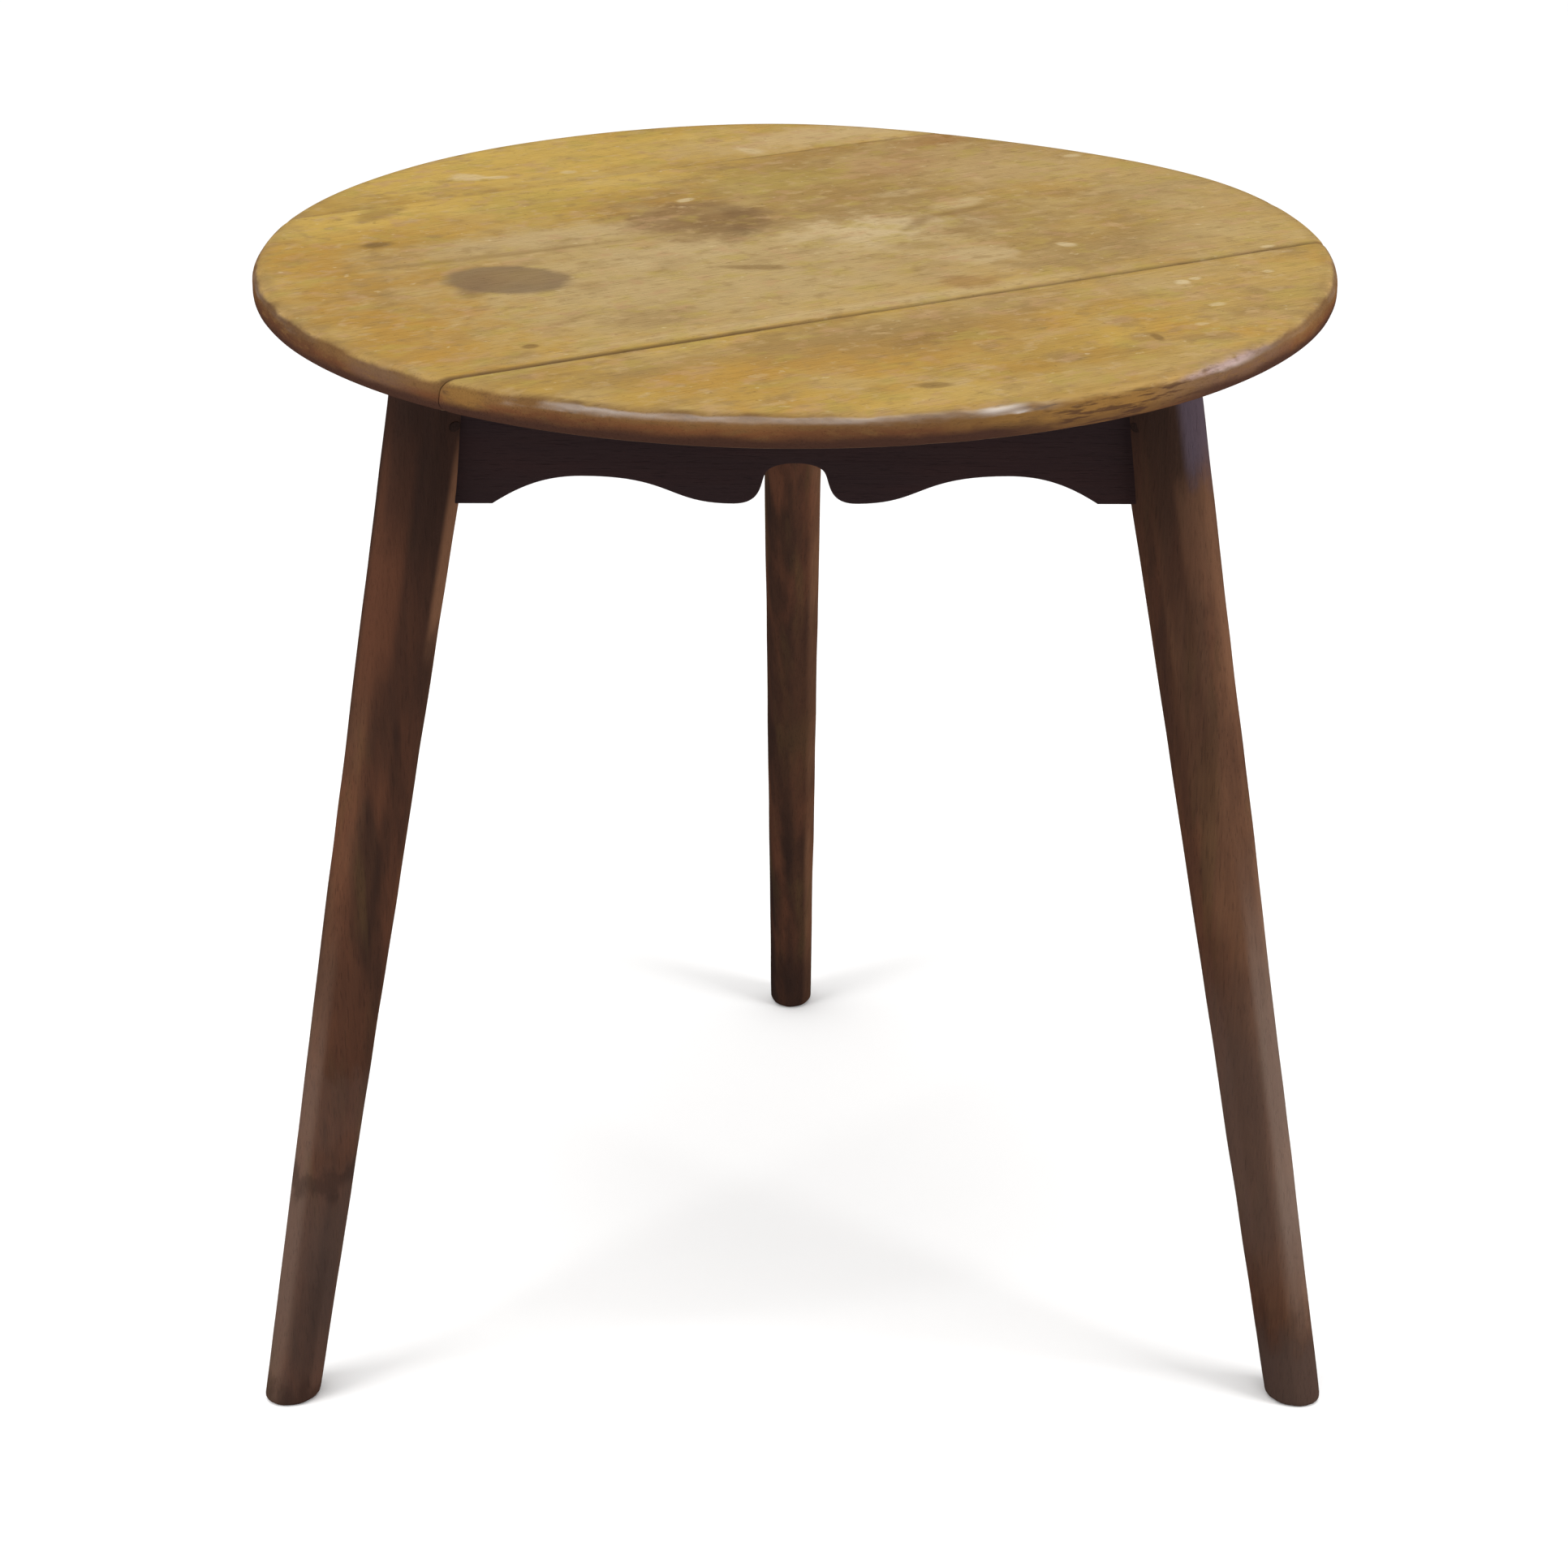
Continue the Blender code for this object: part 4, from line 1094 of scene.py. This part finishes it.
# Heights above the floor (m) between which the underside turns bare
BARE_FADE = (UNDERSIDE + 0.0009, UNDERSIDE + 0.0002)
COAT_ROUGHNESS = 0.34
COAT_IOR = 4.0
MATT = 0.0  # specular level of waxed and bare timber
BOARD_RELIEF = 0.00022
BOARD_SHIFTS = {"front": (0.31, 0.07, 0.3), "middle": (0, 0, 0), "back": (0.9, 0.2, 0.6)}


def new_material(name, specular):
    """A material with a Principled shader; returns it with its tree and the shader's inputs."""
    material = bpy.data.materials.new(name)
    material.use_nodes = True
    shader = material.node_tree.nodes["Principled BSDF"].inputs
    shader["Specular IOR Level"].default_value = specular
    return material, material.node_tree, shader


def emboss(tree, shader, height, depth):
    """Raises the surface by height, depth metres at most."""
    bump = put(tree, "Bump", {"Height": height, "Distance": depth})
    tree.links.new(bump.outputs["Normal"], shader["Normal"])


def finish_board(name, shift):
    material, tree, shader = new_material(f"top_timber_{name}", MATT)
    place = read(tree, "timber")
    rim = read(tree, "rim")
    dirt = read(tree, "arris", "Fac")
    shifted = move(tree, "ADD", place, shift)
    grain = use(tree, grain_group, {"Vector": shifted})
    patina = use(tree, patina_group, {"Vector": shifted})
    parts = split(tree, place)
    colour = weathered(tree, shifted, grain["Bands"])
    colour = lay_marks(tree, colour, place, WASHES[name])
    colour = mottle(tree, colour, shifted, BROAD_MOTTLE)
    colour = lay_marks(tree, colour, place, LATE_WASHES[name])
    colour = mottle(tree, colour, shifted, FINE_MOTTLE)
    colour = lay_marks(tree, colour, place, MARKS[name])
    colour = lay(tree, grade(tree, grain["Streaks"], 0.0, 1.0, 0.08, 0.0), colour, UMBER)
    colour = lay(tree, times(tree, grain["Pores"], 0.18), colour, UMBER)
    colour = lay(tree, times(tree, patina["Specks"], 0.25), colour, BRUISE)
    rim_colour, on_rim, gloss = rim_finish(tree, rim, patina)
    inward = split(tree, rim)["Z"]
    colour = lay(tree, grade(tree, inward, 0.014, 0.003, 0.0, 0.50), colour, BROWN)
    colour = lay(tree, grade(tree, dirt, 0.25, 1.0, 0.0, 0.85), colour, DIRT)
    colour = lay(tree, on_rim, colour, rim_colour)
    bare = lay(tree, grain["Bands"], BARE, BARE_DARK)
    bare = lay(tree, times(tree, patina["Mottle"], 0.4), bare, BARE_DARK)
    colour = lay(tree, grade(tree, parts["Z"], *BARE_FADE), colour, bare)
    tree.links.new(colour, shader["Base Color"])
    tree.links.new(grade(tree, patina["Mottle"], 0.0, 1.0, 0.62, 0.42), shader["Roughness"])
    clean = grade(tree, dirt, 0.0, 0.4, 1.0, 0.0)
    tree.links.new(times(tree, gloss, clean), shader["Coat Weight"])
    shader["Coat Roughness"].default_value = COAT_ROUGHNESS
    shader["Coat IOR"].default_value = COAT_IOR
    relief = sums(tree, "ADD", grain["Streaks"], times(tree, patina["Mottle"], 0.8))
    relief = sums(tree, "SUBTRACT", relief, grain["Pores"])
    emboss(tree, shader, relief, BOARD_RELIEF)
    boards[name].data.materials.append(material)
    print(material.name, len(tree.nodes), "nodes")


for name, shift in BOARD_SHIFTS.items():
    finish_board(name, shift)

# %% [markdown]
# ## The legs' and aprons' finish
# Under the top everything was stained dark and then waxed. The legs are red-brown with darker
# streaks, rubbed lighter on their arrises and scuffed grey at the feet. The aprons are nearly
# black-brown with a cold cast. One recipe makes both, with a table of colours for each. A painted
# shadow of the top darkens the upper legs and the aprons. The lighter and darker flats of the
# legs are painted light and shade, so they stay on the leg when the table is turned, and one leg
# has a painted sheen high on a flank.

# %% Colours of the dark timber
DARK_WOODS = {
    "leg": {
        "light": paint(0.062, 0.028, 0.0150),
        "dark": paint(0.034, 0.0160, 0.0105),
        # deep: dark grain and pores, and also painted shade
        "deep": paint(0.014, 0.0085, 0.0072),
        # rubbed: worn arrises, and also painted light on lit flats and flanks
        "rubbed": paint(0.112, 0.054, 0.030),
        "red": paint(0.074, 0.029, 0.0160),
        "olive": paint(0.056, 0.034, 0.0150),
        "grey": paint(0.072, 0.050, 0.042),
        # a cool, dark painted sheen for a flank in the shadow of the top
        "painted_sheen": paint(0.047, 0.035, 0.045),
        "ash": paint(0.110, 0.078, 0.062),
    },
    "apron": {
        "light": paint(0.0265, 0.0145, 0.0130),
        "dark": paint(0.0190, 0.0108, 0.0108),
        "deep": paint(0.0110, 0.0072, 0.0078),
        "rubbed": paint(0.0480, 0.0260, 0.0180),
        "red": paint(0.0295, 0.0130, 0.0115),
        "olive": paint(0.0230, 0.0145, 0.0130),
    },
}
# Painted light and shade: the rubbed shade paints lit flats, the deep shade shaded ones
SIDES = {  # bearing from the leg's outward direction (degrees), shade and its strength
    "left": ((18, "rubbed", 0.40), (-27, "deep", 0.40), (63, "deep", 0.52), (108, "deep", 0.60)),
    "right": (
        (-117, "deep", 0.12),
        (-72, "rubbed", 0.50),
        (-27, "rubbed", 0.62),
        (18, "rubbed", 0.70),
    ),
    "back": (
        (153, "deep", 0.72),
        (108, "deep", 0.85),
        (-162, "deep", 0.38),
        (-117, "rubbed", 0.65),
    ),
    "apron": (),
}
# Besides wear and dirt, some belts are painted light, shade and sheen
BELTS = {  # height, half height (m), bearing or None for all round, shade and its strength
    "left": (
        (0.550, 0.110, 30, "red", 0.55),
        # painted shadow of the top on the upper leg
        (0.620, 0.070, 40, "deep", 0.50),
        # painted light: a warm lit strip on the inner flank
        (0.560, 0.085, 146, "rubbed", 0.75),
        (0.430, 0.110, 125, "deep", 0.30),
        (0.460, 0.060, 65, "deep", 0.30),
        (0.080, 0.130, None, "grey", 0.30),
        (0.150, 0.200, 5, "ash", 0.28),
        (0.205, 0.035, None, "grey", 0.18),
        (0.155, 0.012, None, "deep", 0.40),
        (0.050, 0.070, 75, "deep", 0.30),
        (0.000, 0.022, None, "deep", 0.45),
    ),
    "right": (
        # painted shade on the flank turned from the light
        (0.560, 0.150, -65, "deep", 0.38),
        # painted light on the lit flank
        (0.550, 0.130, 10, "rubbed", 0.40),
        (0.340, 0.080, -30, "dark", 0.40),
        (0.190, 0.130, None, "grey", 0.35),
        (0.210, 0.190, -8, "ash", 0.50),
        (0.110, 0.090, -20, "ash", 0.20),
        (0.200, 0.120, -72, "deep", 0.30),
        (0.010, 0.070, None, "deep", 0.76),
        (0.010, 0.055, None, "grey", 0.30),
        # painted light, warm, below the sheen
        (0.575, 0.048, -32, "rubbed", 0.28),
        # painted sheen, cool and dark, high on the flank in the shadow of the top
        (0.645, 0.052, -8, "painted_sheen", 0.85),
    ),
    "back": ((0.000, 0.080, None, "deep", 0.55),),
    "apron": (),
}
# Counts the belts: wear and dirt, and painted light, shade and sheen
print("patches of wear:", {name: len(belts) for name, belts in BELTS.items()})

# %% Finish the legs and aprons
DARK_RELIEF = 0.00020
DARK_WANDER = 0.003  # straighter grain than the boards have
FLAT_FADE = (0.80, 0.95)  # cosines off a flat's bearing where its colour starts and is full


def facing_side(tree, bearing):
    """How squarely a point of a leg faces a bearing, from 0 to 1."""
    facing = read(tree, "facing")
    side = (math.cos(math.radians(bearing)), math.sin(math.radians(bearing)), 0.0)
    turned = put(tree, "VectorMath", {0: facing, 1: side}, operation="DOT_PRODUCT")
    return grade(tree, turned.outputs["Value"], *FLAT_FADE)


def shade_sides(tree, colour, tone, sides):
    """Paints light on some of a leg's flats and shade on others."""
    for bearing, shade, strength in sides:
        mask = times(tree, facing_side(tree, bearing), strength)
        colour = lay(tree, mask, colour, tone[shade])
    return colour


def belt(tree, colour, height, tone, belts):
    """Lays soft rings or patches at given heights: wear, dirt, painted light, shade and sheen."""
    for middle, half, bearing, shade, strength in belts:
        mask = near(tree, height, middle, half, strength)
        if bearing is not None:
            mask = times(tree, mask, facing_side(tree, bearing))
        colour = lay(tree, mask, colour, tone[shade])
    return colour


def finish_dark_wood(kind, name, pieces):
    tone = DARK_WOODS[kind]
    material, tree, shader = new_material(f"{name}_timber_finished", MATT)
    timber = read(tree, "timber")
    arris = read(tree, "arris", "Fac")
    place = table_place(tree)
    grain = use(tree, grain_group, {"Vector": timber, "Wander": DARK_WANDER})
    patina = use(tree, patina_group, {"Vector": timber})
    colour = lay(tree, grain["Bands"], tone["dark"], tone["light"])
    colour = shade_sides(tree, colour, tone, SIDES[name])
    reds = cloud(tree, stretch(tree, timber, (9.0, 42.0, 42.0)), 1.0, 3.0)
    colour = lay(tree, grade(tree, reds, 0.44, 0.66, 0.0, 0.65), colour, tone["red"])
    olives = cloud(tree, stretch(tree, timber, (6.0, 55.0, 55.0)), 1.3, 3.0)
    colour = lay(tree, grade(tree, olives, 0.52, 0.70, 0.0, 0.40), colour, tone["olive"])
    colour = lay(tree, grade(tree, patina["Clouds"], 0.0, 1.0, 0.55, 0.0), colour, tone["dark"])
    colour = lay(tree, grade(tree, grain["Streaks"], 0.0, 1.0, 0.14, 0.0), colour, tone["deep"])
    colour = lay(tree, times(tree, grain["Pores"], 0.25), colour, tone["deep"])
    wear = times(tree, arris, grade(tree, patina["Mottle"], 0.35, 0.8, 0.0, 0.35))
    colour = lay(tree, wear, colour, tone["rubbed"])
    height = split(tree, place)["Z"]
    waver = grade(tree, patina["Mottle"], 0.0, 1.0, -0.006, 0.006)
    # Painted shadow of the top: darker upwards from 0.42 m, on the upper legs and on the aprons
    colour = lay(tree, grade(tree, height, 0.42, UNDERSIDE, 0.0, 0.85), colour, tone["deep"])
    colour = belt(tree, colour, sums(tree, "ADD", height, waver), tone, BELTS[name])
    tree.links.new(colour, shader["Base Color"])
    tree.links.new(grade(tree, patina["Mottle"], 0.0, 1.0, 0.60, 0.42), shader["Roughness"])
    relief = sums(tree, "ADD", grain["Streaks"], patina["Mottle"])
    emboss(tree, shader, sums(tree, "SUBTRACT", relief, grain["Pores"]), DARK_RELIEF)
    for piece in pieces:
        piece.data.materials.append(material)
    print(material.name, len(tree.nodes), "nodes on", len(pieces), "pieces")


for name, leg in legs.items():
    finish_dark_wood("leg", name, [leg])
finish_dark_wood("apron", "apron", list(aprons.values()))

# %% [markdown]
# ## Pegs, blocks, dowels and screws
# These keep the shapes of their solids, which are already right, and only get finishes. A peg
# shows its end, so its noise is fine and even. A glue block was never polished, so it is rough
# and pale with dirt on it. The screws are old iron with brown rust in patches.

# %% Finish the small pieces
SMALL_WOODS = {  # light and dark colour, roughness, size of the fibre noise
    "peg": (paint(0.0160, 0.0095, 0.0078), paint(0.0100, 0.0060, 0.0052), 0.65, 900.0),
    "glue_block": (paint(0.270, 0.165, 0.085), paint(0.120, 0.070, 0.038), 0.78, 220.0),
    "edge_dowel": (paint(0.520, 0.360, 0.190), paint(0.340, 0.215, 0.105), 0.70, 400.0),
}
FIBRE_RELIEF = 0.0002
IRON = paint(0.110, 0.100, 0.092)
IRON_RUST = paint(0.130, 0.050, 0.022)
IRON_SPECULAR = 0.5
RUST_RELIEF = 0.0001


def finish_small_wood(kind):
    light, dark, roughness, fibre = SMALL_WOODS[kind]
    material, tree, shader = new_material(f"{kind}_timber_finished", MATT)
    place = table_place(tree)
    patina = use(tree, patina_group, {"Vector": place})
    fibres = cloud(tree, stretch(tree, place, (0.25, 1.0, 1.0)), fibre, 3.0, 0.6)
    colour = lay(tree, grade(tree, fibres, 0.3, 0.7), dark, light)
    colour = lay(tree, times(tree, patina["Mottle"], 0.4), colour, dark)
    tree.links.new(colour, shader["Base Color"])
    tree.links.new(grade(tree, fibres, 0.3, 0.7, roughness, roughness - 0.1), shader["Roughness"])
    emboss(tree, shader, fibres, FIBRE_RELIEF)
    return material


def finish_iron():
    material, tree, shader = new_material("screw_iron_finished", IRON_SPECULAR)
    place = table_place(tree)
    rust = grade(tree, cloud(tree, place, 420.0, 4.0, 0.65), 0.42, 0.60)
    colour = lay(tree, rust, IRON, IRON_RUST)
    tree.links.new(colour, shader["Base Color"])
    tree.links.new(grade(tree, rust, 0.0, 1.0, 0.9, 0.1), shader["Metallic"])
    tree.links.new(grade(tree, rust, 0.0, 1.0, 0.45, 0.85), shader["Roughness"])
    emboss(tree, shader, rust, RUST_RELIEF)
    return material


small_finishes = {kind: finish_small_wood(kind) for kind in SMALL_WOODS}
small_finishes["top_screw"] = finish_iron()
for node_name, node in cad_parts.items():
    for kind, material in small_finishes.items():
        if node_name.startswith(kind):
            node.data.materials.clear()
            node.data.materials.append(material)
print("small pieces finished:", sorted(small_finishes))

# %% [markdown]
# ## The floor's finish
# A painted studio floor is never one flat value, so it gets a faint unevenness that only
# shows as a lack of perfection. It stays close to white, so that its light fills the shadows.

# %% Finish the floor
FLOOR_PALE = paint(0.90, 0.90, 0.90)
FLOOR_PALEST = paint(0.93, 0.93, 0.93)
FLOOR_SPECULAR = 0.2
FLOOR_ROUGHNESS = 0.9
material, tree, shader = new_material("studio_floor_paint", FLOOR_SPECULAR)
patches = cloud(tree, table_place(tree), 1.5, 3.0)
tree.links.new(lay(tree, patches, FLOOR_PALE, FLOOR_PALEST), shader["Base Color"])
shader["Roughness"].default_value = FLOOR_ROUGHNESS
floor.data.materials.append(material)
print("floor paint:", len(tree.nodes), "nodes")
